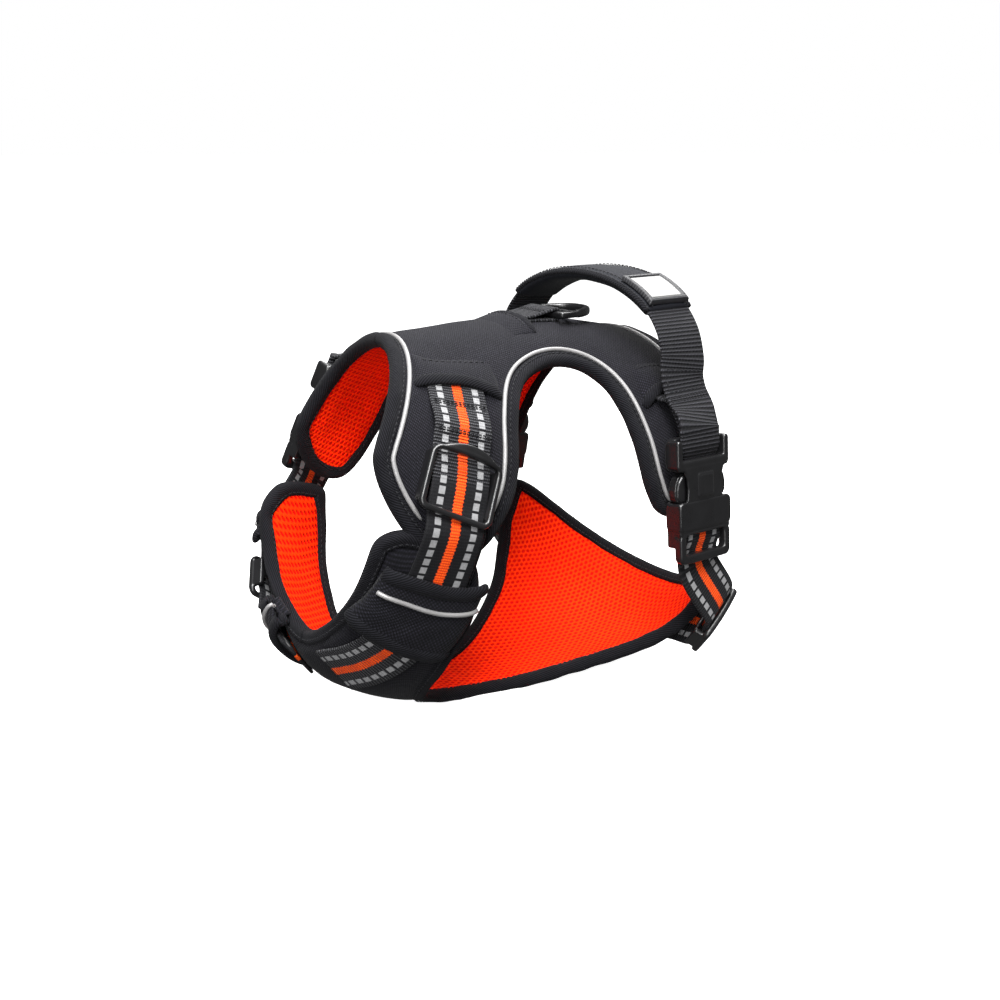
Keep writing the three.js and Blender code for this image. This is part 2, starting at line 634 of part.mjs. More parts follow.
// Closed slab from a grid of [low point, high point] pairs.
function slabSolid(grid) {
  const triangles = [];
  const quad = (a, b, c, d) => triangles.push(a, b, c, a, c, d);
  const [rows, columns] = [grid.length - 1, grid[0].length - 1];
  for (let i = 0; i < rows; i += 1) {
    for (let j = 0; j < columns; j += 1) {
      const [a, b, c, d] = [grid[i][j], grid[i + 1][j], grid[i + 1][j + 1], grid[i][j + 1]];
      quad(a[1], b[1], c[1], d[1]);
      quad(a[0], d[0], c[0], b[0]);
    }
    quad(grid[i][0][0], grid[i + 1][0][0], grid[i + 1][0][1], grid[i][0][1]);
    quad(grid[i + 1][columns][0], grid[i][columns][0], grid[i][columns][1], grid[i + 1][columns][1]);
  }
  for (let j = 0; j < columns; j += 1) {
    quad(grid[0][j + 1][0], grid[0][j][0], grid[0][j][1], grid[0][j + 1][1]);
    quad(grid[rows][j][0], grid[rows][j + 1][0], grid[rows][j + 1][1], grid[rows][j][1]);
  }
  return solidFromTriangles(triangles);
}

function buildCoversAndKeepers() {
  strapCover('strap_cover_near', NEAR, SHOULDER_ALONG, 0.125, 23);
  strapCover('strap_cover_far', FAR, SHOULDER_ALONG, 0.125, 23);
  strapCover('girth_cover_near', NEAR, 0.85, 0.085, 33);
  strapCover('girth_cover_far', FAR, 0.85, 0.085, 33);
  keeper('keeper_near', CHEST, [[74, 0.169], [67, 0.17], [60, 0.17], [52, 0.167]], 56);
  keeper('keeper_far_upper', CHEST, [[-72, 0.174], [-69, 0.173], [-65.5, 0.171]], 57);
  keeper('keeper_far_lower', CHEST, [[-29, 0.151], [-24, 0.148], [-18, 0.145]], 52);
}

// ---------------------------------------------------------------- girth straps and handle
const GRIP_HALF_WIDTH = 18;
const GRIP_THICK = 8.5;
const HANDLE_KNOTS = [                // x, y and z from the near foot over to the far foot
  [76, 77, 66], [75.8, 77.5, 75], [73.5, 78.5, 89], [67.5, 79, 103.5], [54.5, 79, 117], [31, 79, 127],
  [0, 79, 130.5],
  [-31, 78, 127], [-54.5, 76.5, 117], [-67.5, 74.5, 103.5], [-73.5, 72, 89], [-75.8, 70, 75], [-76, 69, 66],
];

// Girth side: handle strap down the rear lobe, buckle, then the adjustable strap to the chest plate.
function buildGirthSide(side, label, spots) {
  const buckle = flatRun(BACK, spots.angle, spots.along, spots.lift);
  addBuckle(`girth_buckle_${label}`, buckle);
  addStrap(`handle_strap_${label}`, [
    ...spots.strapTop.map((point) => [vec(...point), buckle.outward]),
    ...strapIntoMale(buckle),
  ]);
  addStrap(`girth_anchor_${label}`, [
    above(BACK, side * 38, 0.86, STRAP_OFFSET),
    above(BACK, side * 46, 0.86, STRAP_OFFSET + 0.3),
    [vec(...spots.anchorEnd), vec(side, 0, 0.4).normalize()],
  ]);
  const slide = flatRun(CHEST, ...spots.slider);
  addStrap(`girth_strap_${label}`, [
    ...strapFromFemale(buckle),
    ...throughSlider(slide, SHORT_SLIDER, 3),
    ...spots.under.map(([angle, along, lift]) => above(CHEST, angle, along, lift)),
  ]);
  addSlider(`girth_slider_${label}`, slide, SHORT_SLIDER);
}

function buildGirth() {
  buildGirthSide(NEAR, 'near', {
    angle: 82,
    along: 0.86,
    lift: 10.2,
    strapTop: [[79.8, 77, 74], [83.5, 77, 66]],
    anchorEnd: [73, 75, 58],
    slider: [66, 0.88, 11],
    under: [[52, 0.885, 6.6], [46, 0.89, 5.6], [38, 0.89, 5.4]],
  });
  buildGirthSide(FAR, 'far', {
    angle: -80,
    along: 0.92,
    lift: 10.2,
    strapTop: [[-81.4, 69.5, 74], [-84.4, 69.5, 66]],
    anchorEnd: [-75, 69, 60],
    slider: [-54, 0.87, 11],
    under: [[-43, 0.875, 6.4], [-35, 0.88, 5.6], [-27, 0.88, 5.4]],
  });
}

function handleKnots() {
  return HANDLE_KNOTS.map(([x, y, z]) => [vec(x, y, z), vec(x * 0.8, 0, z - 60).normalize()]);
}

// The handle: two webbing legs, a padded sleeve between them and a rubber patch near its near end.
function buildHandle() {
  const frames = pathFrames(handleKnots(), 3);
  const last = frames.length - 1;
  const first = 11;
  const half = WEBBING_THICK / 2;
  const leg = (run) => sweep(run, flatSection(WEBBING, -half, half));
  addPiece('handle_leg_near', leg(frames.slice(0, first)), 'webbing');
  addPiece('handle_leg_far', leg(frames.slice(last + 1 - first)), 'webbing');
  const g = GRIP_THICK / 2;
  addPiece('handle_grip', sweep(frames.slice(first, last + 1 - first),
    roundedSection(2 * GRIP_HALF_WIDTH, -g, g, 2.6)), 'grip');
  const patch = frames.slice(first, first + 5);
  addPiece('handle_patch', sweep(patch, roundedSection(31, g + GAP, g + 2.1, 0.6)), 'patch');
  addPiece('handle_patch_panel', sweep(patch.slice(1, -1), flatSection(24, g + 2.4, g + 3)), 'panel');
}

// ---------------------------------------------------------------- leash ring on the back
const RING_AXIS = [0, 34, 109];       // middle of the ring's bar
const RING_WIDTH = 40;
const RING_REACH = 30.5;
const RING_THICK = 3;
const LOOP_WIDTH = 25;

function ringPlate() {
  const w = RING_WIDTH / 2;
  const shape = new THREE.Shape();
  shape.moveTo(-w + 2, -2);
  shape.lineTo(w - 2, -2);
  shape.quadraticCurveTo(w, -2, w, 1);
  shape.lineTo(w - 1, 12);
  shape.bezierCurveTo(w - 3, 24, 10, RING_REACH, 0, RING_REACH);
  shape.bezierCurveTo(-10, RING_REACH, -w + 3, 24, -w + 1, 12);
  shape.lineTo(-w, 1);
  shape.quadraticCurveTo(-w, -2, -w + 2, -2);
  shape.holes.push(roundedRectShape(-13.6, 13.6, 2, 7.4, 1.2));
  const opening = new THREE.Path();
  opening.moveTo(-14.5, 11);
  opening.lineTo(14.5, 11);
  opening.bezierCurveTo(13.5, 20, 8, RING_REACH - 4.5, 0, RING_REACH - 4.5);
  opening.bezierCurveTo(-8, RING_REACH - 4.5, -13.5, 20, -14.5, 11);
  shape.holes.push(opening);
  return plate(shape, -RING_THICK / 2, RING_THICK / 2, 0.5, 5);
}

// Webbing loop round the ring's bar: its lower leg lies on the panel, its upper leg on the lower.
function ringLoop() {
  const [x, y, z] = RING_AXIS;
  const bend = 3.2;
  const frame = (py, pz, dy, dz) => ({
    origin: vec(x, py, pz),
    x: vec(1, 0, 0),
    z: vec(0, dy, dz).normalize(),
  });
  const frames = [frame(y - 27, z - 0.2, 0, 1), frame(y - 12, z - 0.4, 0, 1), frame(y - 5, z + 2.4, -0.4, 1)];
  for (let i = 0; i <= 8; i += 1) {
    const a = Math.PI / 2 - Math.PI * i / 8;
    frames.push(frame(y + bend * Math.cos(a), z + bend * Math.sin(a), Math.cos(a), Math.sin(a)));
  }
  frames.push(frame(y - 12, z - 2.1, 0, -1), frame(y - 27, z - 1.9, 0, -1));
  return sweep(frames, flatSection(LOOP_WIDTH, -0.6, 0.6));
}

// Fabric tunnel on the back that the loop comes out of.
function ringTunnel() {
  const rows = [[0.44, 3.9, 4.8], [0.47, 7.2, 8.6], [0.51, 8.4, 10], [0.55, 8.8, 10.6]];
  const grid = rows.map(([along, low, high]) => Array.from({ length: 9 }, (_, i) => {
    const s = (i - 4) / 4;
    const rise = 1 - s ** 4;
    const at = (lift) => offsetPoint(BACK, 15 * s, along, lift);
    return [at(3.9 + (low - 3.9) * rise), at(4.8 + (high - 4.8) * rise)];
  }));
  return slabSolid(grid);
}

function buildRing() {
  addPiece('leash_ring', ringPlate().translate(...RING_AXIS), 'ring');
  addPiece('ring_loop', ringLoop(), 'webbing');
  addPiece('ring_tunnel', ringTunnel(), 'shell');
}

function buildHarness() {
  buildPanels();
  buildPiping();
  buildNearShoulder();
  buildFarShoulder();
  buildCoversAndKeepers();
  buildGirth();
  buildHandle();
  buildRing();
}

// Origin at the middle of the footprint, on the ground.
function standOnGround() {
  const bounds = new THREE.Box3().setFromObject(harness);
  const centre = bounds.getCenter(vec(0, 0, 0));
  harness.children.forEach((mesh) => mesh.geometry.translate(-centre.x, -centre.y, -bounds.min.z));
}

buildHarness();
standOnGround();

export default harness;
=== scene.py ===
"""No-pull dog harness: soft panels, webbing, buckles, sliders, handle and ring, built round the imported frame.

Shapes are worked out in millimetres about the dog's chest and moved to the row frame by SHIFT.
+Z is up, the head is towards -Y and the near side is +X.
"""
import math
from collections import namedtuple

import bmesh
import bpy
import numpy as np
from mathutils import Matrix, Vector


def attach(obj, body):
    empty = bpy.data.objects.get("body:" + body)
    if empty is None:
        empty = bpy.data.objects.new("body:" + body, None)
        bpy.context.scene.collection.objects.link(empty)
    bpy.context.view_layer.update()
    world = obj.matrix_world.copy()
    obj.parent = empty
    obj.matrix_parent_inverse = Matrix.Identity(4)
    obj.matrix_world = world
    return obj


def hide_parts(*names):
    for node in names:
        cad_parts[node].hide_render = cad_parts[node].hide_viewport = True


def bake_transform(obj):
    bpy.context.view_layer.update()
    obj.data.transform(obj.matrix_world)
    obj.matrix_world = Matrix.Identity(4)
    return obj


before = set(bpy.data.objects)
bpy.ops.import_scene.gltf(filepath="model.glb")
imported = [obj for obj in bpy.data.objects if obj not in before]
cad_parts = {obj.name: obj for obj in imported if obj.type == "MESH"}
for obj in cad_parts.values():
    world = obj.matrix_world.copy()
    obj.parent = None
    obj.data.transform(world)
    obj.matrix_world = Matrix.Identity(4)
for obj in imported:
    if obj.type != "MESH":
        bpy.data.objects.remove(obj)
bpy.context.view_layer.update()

# ---------------------------------------------------------------- driving dimensions, mm
SHIFT = np.array([-0.6152, 15.3916, 115.0])   # from the middle of the chest to the row's origin
NEAR, FAR = 1, -1
GROUND = -115.0                                # the chest plate is pressed flat here

# One station of the body tube per row: along, y, z, half width, rise, lean, roll, twist, vee.
COLUMNS = ["along", "y", "z", "half", "rise", "lean", "roll", "twist", "vee"]
BACK_STATIONS = [
    (0.00, -83, 103, 63, -62, -36, -0.08, 0.18, 0),
    (0.20, -53, 101.5, 78, -94, -33, 0.03, 0.13, 0),
    (0.55, 16, 103, 86, -109, -15, 0.04, 0, 0),
    (0.85, 66, 97, 86, -104, -4, 0, -0.1, 0),
    (1.00, 98, 92, 81, -93, -4, -0.02, -0.14, 0),
]
CHEST_STATIONS = [
    (0.00, -131, -55, 69, 70, 4, -0.14, 0.02, 0.3),
    (0.10, -133, -67, 74, 83, 26, -0.06, 0.01, 0.2),
    (0.20, -117, -86, 79, 91, 36, 0, 0, 0.1),
    (0.42, -66, -109, 84, 98, 8, 0.04, -0.05, 0),
    (0.60, -5, -114, 84, 86, 2, 0.1, -0.05, 0),
    (0.80, 72, -95, 90, 56, -6, 0.16, -0.06, 0),
    (1.00, 117, -64, 93, 48, -33, 0.13, -0.07, 0),
]
BACK_OUTLINE = [                               # angle from the middle line, along
    (0, 0), (25, 0), (50, 0), (72, 0), (82, 0.012), (88.5, 0.06),
    (91, 0.15), (90, 0.27), (73, 0.345), (50, 0.365), (38, 0.40), (32, 0.47),
    (31, 0.55), (35, 0.62), (44, 0.67), (60, 0.70), (74, 0.72), (84, 0.76),
    (88, 0.84), (86, 0.92), (78, 0.97), (62, 0.99), (42, 1), (20, 1), (0, 1),
]
CHEST_OUTLINE = [
    (0, 0), (30, 0), (58, 0), (75, 0.006), (83, 0.03), (87.5, 0.085),
    (88.5, 0.175), (87, 0.265), (77, 0.315), (57, 0.32), (34, 0.34), (20, 0.395),
    (16, 0.475), (18, 0.55), (27, 0.635), (40, 0.71), (56, 0.765), (69, 0.815),
    (76, 0.89), (74, 0.955), (63, 0.99), (45, 1), (30, 1), (15, 1), (0, 1),
]
Panel = namedtuple("Panel", "name table outline outward")
BACK = Panel("back", np.array(BACK_STATIONS, float), np.array(BACK_OUTLINE, float), 1)
CHEST = Panel("chest", np.array(CHEST_STATIONS, float), np.array(CHEST_OUTLINE, float), -1)

TIP, APEX, REAR_TIP, END = 6, 12, 18, 24       # corners of a half outline, counted in its rows
BRIDGE = 0.35                                  # rungs this near the middle end on the bridge
EVEN = np.array([1, 100])                      # puts an angle and an along on a like scale
TAPE = 7.6                                     # width of the bound edge on each face
TAPE_SECTION = np.array([                      # distance in from the edge, height; outside first
    (TAPE, 2.2), (TAPE - 0.3, 3.3), (6.6, 3.6), (5.8, 3.35), (4.8, 3.75), (3.4, 4.0), (2.0, 3.75),
    (0.8, 2.9), (0.1, 1.6), (-0.25, 0.0), (0.1, -1.6), (0.8, -2.9), (2.0, -3.7), (3.4, -3.95),
    (4.8, -3.8), (5.8, -3.4), (6.6, -3.6), (TAPE - 0.3, -3.3), (TAPE, -2.2),
])
EDGE_STEP = 1.6                                # between frames round a panel's edge
EDGE_STITCH_AT = 6.1                           # rows of stitches and piping, in from the edge
PIPING_AT = 9.6
PIPING_RADIUS = 1.25
WEBBING = 33.0
SHOULDER = 0.2                                 # where the shoulder straps run on the front lobes
BUCKLE_HALF = 22.0                             # half widths of the mouldings
BUCKLE_END = 36.5                              # from a buckle's middle to either end
SLOT_HALF = 17.6                               # half width of its slots for the strap
SLIDER_HALF = 21.2
GRIP_WIDTH = 36.0
PATCH_HALF = 15.5
ANCHOR_WIDTH = 27.0


# ---------------------------------------------------------------- body surface
def station_value(panel, key, along):
    """One column of a panel's station table on a smooth curve through its rows."""
    t = panel.table[:, 0]
    column = panel.table[:, COLUMNS.index(key)]
    last = len(t) - 1
    ahead = np.minimum(np.arange(last + 1) + 1, last)
    behind = np.maximum(np.arange(last + 1) - 1, 0)
    slope = (column[ahead] - column[behind]) / (t[ahead] - t[behind])
    i = np.clip(np.searchsorted(t, along, side="right") - 1, 0, last - 1)
    span = t[i + 1] - t[i]
    s = (along - t[i]) / span
    start = (2 * s ** 3 - 3 * s ** 2 + 1) * column[i] + (s ** 3 - 2 * s ** 2 + s) * span * slope[i]
    return start + (3 * s ** 2 - 2 * s ** 3) * column[i + 1] + (s ** 3 - s ** 2) * span * slope[i + 1]


def surface_point(panel, angle, along):
    """Point of a panel's middle surface at an angle round the body and a place along it."""
    angle, along = np.broadcast_arrays(np.asarray(angle, float), np.asarray(along, float))
    value = {key: station_value(panel, key, along) for key in COLUMNS[1:]}
    sine = np.sin(np.radians(angle))
    bend = 1 - np.cos(np.radians(angle))
    soft = 0.15                                # rounds the point of a vee
    pointed = (np.hypot(sine, soft) - soft) / (math.hypot(1, soft) - soft)
    x = value["half"] * sine
    y = value["y"] + value["lean"] * bend - value["twist"] * x
    shape = bend * (1 - value["vee"]) + pointed * value["vee"]
    z = value["z"] + value["rise"] * shape - value["roll"] * x
    return np.stack([x, y, z], axis=-1)


def surface_tangents(panel, angle, along):
    """Change of position for one degree across and for one unit along."""
    angle, along = np.asarray(angle, float), np.asarray(along, float)
    across = surface_point(panel, angle + 0.5, along) - surface_point(panel, angle - 0.5, along)
    down = surface_point(panel, angle, along + 0.004) - surface_point(panel, angle, along - 0.004)
    return across, down / 0.008


def unit(v):
    return v / np.maximum(np.linalg.norm(v, axis=-1, keepdims=True), 1e-12)


def surface_normal(panel, angle, along):
    """Unit vector out of the harness."""
    across, down = surface_tangents(panel, angle, along)
    return unit(np.cross(across, down)) * panel.outward


def above(panel, angle, along, lift):
    """Point lifted off a panel, and the way out of the panel there."""
    normal = surface_normal(panel, angle, along)
    lift = np.asarray(lift, float)[..., None]
    return surface_point(panel, angle, along) + normal * lift, normal


ARC_STEPS = 20


def arc_coordinates(panel, angle, along):
    """Distance across and along the panel's fabric from its middle, in mm."""
    f = (np.arange(ARC_STEPS) + 0.5) / ARC_STEPS
    across = surface_tangents(panel, angle[..., None] * f, along[..., None] + 0 * f)[0]
    u = np.linalg.norm(across, axis=-1).mean(axis=-1) * angle
    middle = 0.5 + (along[..., None] - 0.5) * f
    down = surface_tangents(panel, angle[..., None] + 0 * f, middle)[1]
    v = np.linalg.norm(down, axis=-1).mean(axis=-1) * (along - 0.5)
    return u, v


# ---------------------------------------------------------------- curves and paths
def smooth_curve(points, places, power=0.25):
    """Catmull-Rom curve through points, read at places counted in spans; power 0 spaces knots evenly."""
    points = np.asarray(points, float)
    full = np.vstack([2 * points[:1] - points[1:2], points, 2 * points[-1:] - points[-2:-1]])
    span = np.clip(np.floor(places).astype(int), 0, len(points) - 2)
    w = (places - span)[:, None]
    p0, p1, p2, p3 = (full[span + k] for k in range(4))

    def knot(a, b):
        return (((a - b) ** 2).sum(axis=1, keepdims=True)) ** power if power else np.ones((len(a), 1))

    d0, d1, d2 = knot(p0, p1), knot(p1, p2), knot(p2, p3)
    m1 = ((p1 - p0) / d0 - (p2 - p0) / (d0 + d1) + (p2 - p1) / d1) * d1
    m2 = ((p2 - p1) / d1 - (p3 - p1) / (d1 + d2) + (p3 - p2) / d2) * d1
    return p1 + m1 * w + (3 * (p2 - p1) - 2 * m1 - m2) * w ** 2 + (2 * (p1 - p2) + m1 + m2) * w ** 3


def run_length(points):
    """Length along each line of points, from 0 at its start."""
    steps = np.linalg.norm(np.diff(points, axis=-2), axis=-1)
    return np.concatenate([0 * points[..., :1, 0], np.cumsum(steps, axis=-1)], axis=-1)


Path = namedtuple("Path", "origin x y z length")


def make_path(knots, step):
    """Even frames along a smooth path; each knot is (point, outward direction)."""
    points = np.array([k[0] for k in knots], float)
    outs = np.array([k[1] for k in knots], float)
    spans = len(points) - 1
    dense = np.linspace(0, spans, spans * 40 + 1)
    run = smooth_curve(points, dense)
    length = run_length(run)
    count = max(2, int(round(length[-1] / step)))
    places = np.interp(np.linspace(0, length[-1], count + 1), length, dense)
    origin = smooth_curve(points, places)
    ahead = smooth_curve(points, np.clip(places + 1e-3, 0, spans))
    behind = smooth_curve(points, np.clip(places - 1e-3, 0, spans))
    y = unit(ahead - behind)
    k = np.clip(np.floor(places).astype(int), 0, spans - 1)
    f = (places - k)[:, None]
    outward = outs[k] * (1 - f) + outs[k + 1] * f
    x = unit(np.cross(y, outward))
    return Path(origin, x, y, np.cross(x, y), np.linspace(0, length[-1], count + 1))


def part_of(path, start, end):
    """The stretch of a path between two lengths along it."""
    keep = (path.length >= start - 1e-6) & (path.length <= end + 1e-6)
    return Path(path.origin[keep], path.x[keep], path.y[keep], path.z[keep], path.length[keep])


def lifted(path, across=0.0, out=0.0):
    """A path moved sideways and outwards; either may change along it."""
    across = np.asarray(across, float).reshape(-1, 1)
    out = np.asarray(out, float).reshape(-1, 1)
    return path._replace(origin=path.origin + path.x * across + path.z * out)


Run = namedtuple("Run", "centre up outward across")


def straight_run(start, end):
    """Straight stretch from one lifted point down to another, with a centre to sit a fitting on."""
    up = unit(start[0] - end[0])
    mean = start[1] + end[1]
    outward = unit(mean - up * mean.dot(up))
    return Run((start[0] + end[0]) / 2, up, outward, np.cross(up, outward))


def flat_run(panel, angle, along, lift):
    """Straight stretch that lies flat over a panel."""
    centre, outward = above(panel, angle, along, lift)
    up = unit(surface_tangents(panel, angle, along)[0]) * -np.sign(angle) * panel.outward
    return Run(centre, up, outward, np.cross(up, outward))


def on_run(run, y, z=0.0):
    """Knot on a run, y up it from its centre and z out of it."""
    return run.centre + run.up * y + run.outward * z, run.outward


# ---------------------------------------------------------------- shapes
Shape = namedtuple("Shape", "verts faces cloth")


def grid_faces(rows, columns, wrap_rows=False, wrap_columns=False):
    """Quads over a grid of points numbered row by row."""
    i = np.arange(rows if wrap_rows else rows - 1)
    j = np.arange(columns if wrap_columns else columns - 1)
    i, j = np.meshgrid(i, j, indexing="ij")
    i2, j2 = (i + 1) % rows, (j + 1) % columns
    quads = np.stack([i * columns + j, i * columns + j2, i2 * columns + j2, i2 * columns + j], axis=-1)
    return quads.reshape(-1, 4).tolist()


def cloth_at(u, v):
    """Cloth coordinates of plain fabric: distance across, distance along and no ribs."""
    return np.stack(np.broadcast_arrays(u, v, 0.0), axis=-1)


def sweep(path, section, rib=0.0):
    """Sweeps a closed section of (across, out) points along a path; section may change along it."""
    section = np.asarray(section, float)
    section = np.broadcast_to(section, (len(path.origin),) + section.shape[-2:])
    verts = (path.origin[:, None] + path.x[:, None] * section[..., :1]
             + path.z[:, None] * section[..., 1:2])
    rows, columns = verts.shape[:2]
    faces = grid_faces(rows, columns, False, True)
    faces += [list(range(columns)), list(range((rows - 1) * columns, rows * columns))]
    length = np.broadcast_to(path.length[:, None], (rows, columns))
    rib = np.broadcast_to(np.asarray(rib, float).reshape(-1, 1), (rows, columns))
    cloth = np.stack([section[..., 0], length, rib], axis=-1)
    return Shape(verts.reshape(-1, 3), faces, cloth.reshape(-1, 3))


def join(shapes):
    """Several shapes as one."""
    verts, faces, cloth, count = [], [], [], 0
    for shape in shapes:
        verts.append(shape.verts)
        cloth.append(shape.cloth)
        faces += [[k + count for k in face] for face in shape.faces]
        count += len(shape.verts)
    return Shape(np.vstack(verts), faces, np.vstack(cloth))


def slab(top, bottom, cloth):
    """Closed slab between two grids of points, with a wall round its four edges."""
    rows, columns = top.shape[:2]
    count = rows * columns
    upper = grid_faces(rows, columns)
    lower = [[k + count for k in reversed(face)] for face in upper]
    ring = ([(0, j) for j in range(columns)] + [(i, columns - 1) for i in range(1, rows)]
            + [(rows - 1, j) for j in range(columns - 2, -1, -1)] + [(i, 0) for i in range(rows - 2, 0, -1)])
    ring = [i * columns + j for i, j in ring]
    side = [[a, a + count, b + count, b] for a, b in zip(ring, ring[1:] + ring[:1])]
    verts = np.vstack([top.reshape(-1, 3), bottom.reshape(-1, 3)])
    both = np.vstack([cloth.reshape(-1, 3), cloth.reshape(-1, 3)])
    return Shape(verts, upper + lower + side, both)


def whole_turn(sides):
    return np.linspace(0, 2 * math.pi, sides, endpoint=False)


def tube(path, radius, sides=10):
    """Round cord along a path; its radius may change along it."""
    turn = whole_turn(sides)
    circle = np.stack([np.cos(turn), np.sin(turn)], axis=-1)
    radius = np.asarray(radius, float).reshape(-1, 1, 1)
    return sweep(path, circle * radius)


def webbing_section(width=WEBBING, thick=2.0):
    """Flat woven strap with rounded edges."""
    h, w = thick / 2, width / 2
    turn = np.linspace(-math.pi / 2, math.pi / 2, 6)
    right = [(w - h + h * math.cos(a), h * math.sin(a)) for a in turn]
    top = [(w * f, h) for f in (0.6, 0.3, 0.0, -0.3, -0.6)]
    left = [(-a, -b) for a, b in right]
    return right + top + left + [(-a, -b) for a, b in top]


def stitches(path, length=2.5, gap=0.8, radius=0.3, sink=0.35):
    """A row of sewn stitches along a path that lies on the fabric."""
    total = path.length[-1] - path.length[0]
    count = max(1, int(total / (length + gap)))
    start = path.length[0] + (np.arange(count) + 0.5) * total / count
    place = (start[:, None] + length * np.array([-0.5, -0.32, 0.32, 0.5])).ravel()
    drop = np.tile([-sink, radius * 0.5, radius * 0.5, -sink], count)
    size = np.tile([0.35, 1, 1, 0.35], count) * radius

    def read(values):
        return np.stack([np.interp(place, path.length, values[:, k]) for k in range(3)], axis=-1)

    x, z = unit(read(path.x)), unit(read(path.z))
    origin = read(path.origin) + z * drop[:, None]
    turn = whole_turn(6)
    offset = x[:, None] * np.cos(turn)[:, None] + z[:, None] * np.sin(turn)[:, None]
    verts = (origin[:, None] + offset * size[:, None, None]).reshape(-1, 3)
    one = grid_faces(4, 6, False, True) + [[0, 1, 2, 3, 4, 5], [18, 19, 20, 21, 22, 23]]
    faces = [[k + 24 * i for k in face] for i in range(count) for face in one]
    return Shape(verts, faces, np.zeros((len(verts), 3)))


WAVES = 14                                     # sine waves in a ripple


def ripple(u, v, seed, wavelength):
    """Smooth bumps of about unit height over distances u and v, the same on every run."""
    random = np.random.default_rng(seed)
    total = np.zeros(np.shape(u))
    for _ in range(WAVES):
        heading = random.uniform(0, math.pi)
        size = wavelength * random.uniform(0.7, 1.6)
        wave = (u * math.cos(heading) + v * math.sin(heading)) * 2 * math.pi / size
        total = total + np.sin(wave + random.uniform(0, 2 * math.pi))
    return total / math.sqrt(WAVES / 2)


def smoothstep(value, low, high):
    """0 below low, 1 above high and a smooth rise between."""
    t = np.clip((value - low) / (high - low), 0, 1)
    return t * t * (3 - 2 * t)


# ---------------------------------------------------------------- node materials
class Num:
    """A number in a node tree, with the arithmetic that a pattern needs."""

    def __init__(self, tree, socket):
        self.tree = tree
        self.socket = socket

    def math(self, operation, *others):
        node = self.tree.nodes.new("ShaderNodeMath")
        node.operation = operation
        for i, value in enumerate((self, *others)):
            if isinstance(value, Num):
                self.tree.links.new(value.socket, node.inputs[i])
            else:
                node.inputs[i].default_value = value
        return Num(self.tree, node.outputs[0])

    def __add__(self, other):
        return self.math("ADD", other)

    def __sub__(self, other):
        return self.math("SUBTRACT", other)

    def __mul__(self, other):
        return self.math("MULTIPLY", other)

    def __truediv__(self, other):
        return self.math("DIVIDE", other)

    def abs(self):
        return self.math("ABSOLUTE")

    def sine(self, pitch):
        """Sine wave that repeats every pitch."""
        return (self * (2 * math.pi / pitch)).math("SINE")

    def saw(self, pitch, shift=0.0):
        """Rises from 0 to 1 over each pitch."""
        return (self / pitch + shift).math("FRACT")

    def step(self, low, high):
        """Smooth step from 0 at low to 1 at high."""
        node = self.tree.nodes.new("ShaderNodeMapRange")
        node.interpolation_type = "SMOOTHSTEP"
        self.tree.links.new(self.socket, node.inputs["Value"])
        node.inputs["From Min"].default_value = min(low, high)
        node.inputs["From Max"].default_value = max(low, high)
        node.inputs["To Min"].default_value = 0.0 if low < high else 1.0
        node.inputs["To Max"].default_value = 1.0 if low < high else 0.0
        return Num(self.tree, node.outputs["Result"])


class Look:
    """One procedural material: a Principled shader fed by patterns."""

    def __init__(self, name, **fixed):
        self.material = bpy.data.materials.new(name)
        self.material.use_nodes = True
        self.tree = self.material.node_tree
        self.shader = self.tree.nodes["Principled BSDF"]
        for key, value in fixed.items():
            self.shader.inputs[key.replace("_", " ")].default_value = value

    def cloth(self):
        """Distance across, distance along and rib strength, in mm, stored on the mesh; the rib strength scales
        the ribs' relief and their painted highlight.
        """
        read = self.tree.nodes.new("ShaderNodeAttribute")
        read.attribute_name = "cloth"
        split = self.tree.nodes.new("ShaderNodeSeparateXYZ")
        self.tree.links.new(read.outputs["Vector"], split.inputs[0])
        return [Num(self.tree, split.outputs[k]) for k in range(3)]

    def noise(self, size, detail=3.0):
        """Noise of about 0 to 1 whose bumps are about size mm."""
        place = self.tree.nodes.new("ShaderNodeTexCoord")
        node = self.tree.nodes.new("ShaderNodeTexNoise")
        node.inputs["Scale"].default_value = 1000.0 / size
        node.inputs["Detail"].default_value = detail
        self.tree.links.new(place.outputs["Object"], node.inputs["Vector"])
        return Num(self.tree, node.outputs["Fac"])

    def mix(self, factor, low, high):
        """Colour between two colours, either of which may itself be a mix."""
        node = self.tree.nodes.new("ShaderNodeMix")
        node.data_type = "RGBA"
        self.tree.links.new(factor.socket, node.inputs["Factor"])
        for name, value in (("A", low), ("B", high)):
            socket = [s for s in node.inputs if s.name == name and s.type == "RGBA"][0]
            if isinstance(value, tuple):
                socket.default_value = (*value, 1.0)
            else:
                self.tree.links.new(value, socket)
        return [s for s in node.outputs if s.type == "RGBA"][0]

    def colour(self, socket):
        self.tree.links.new(socket, self.shader.inputs["Base Color"])

    def rough(self, value):
        self.tree.links.new(value.socket, self.shader.inputs["Roughness"])

    def bump(self, height, depth):
        """Relief of the given depth in mm."""
        node = self.tree.nodes.new("ShaderNodeBump")
        node.inputs["Distance"].default_value = depth / 1000.0
        self.tree.links.new(height.socket, node.inputs["Height"])
        self.tree.links.new(node.outputs["Normal"], self.shader.inputs["Normal"])


def weave_height(u, v, pitch):
    """Plain weave: threads that pass over and under each other."""
    return (u.sine(pitch * 2) * v.sine(pitch * 2)) * 0.5 + 0.5


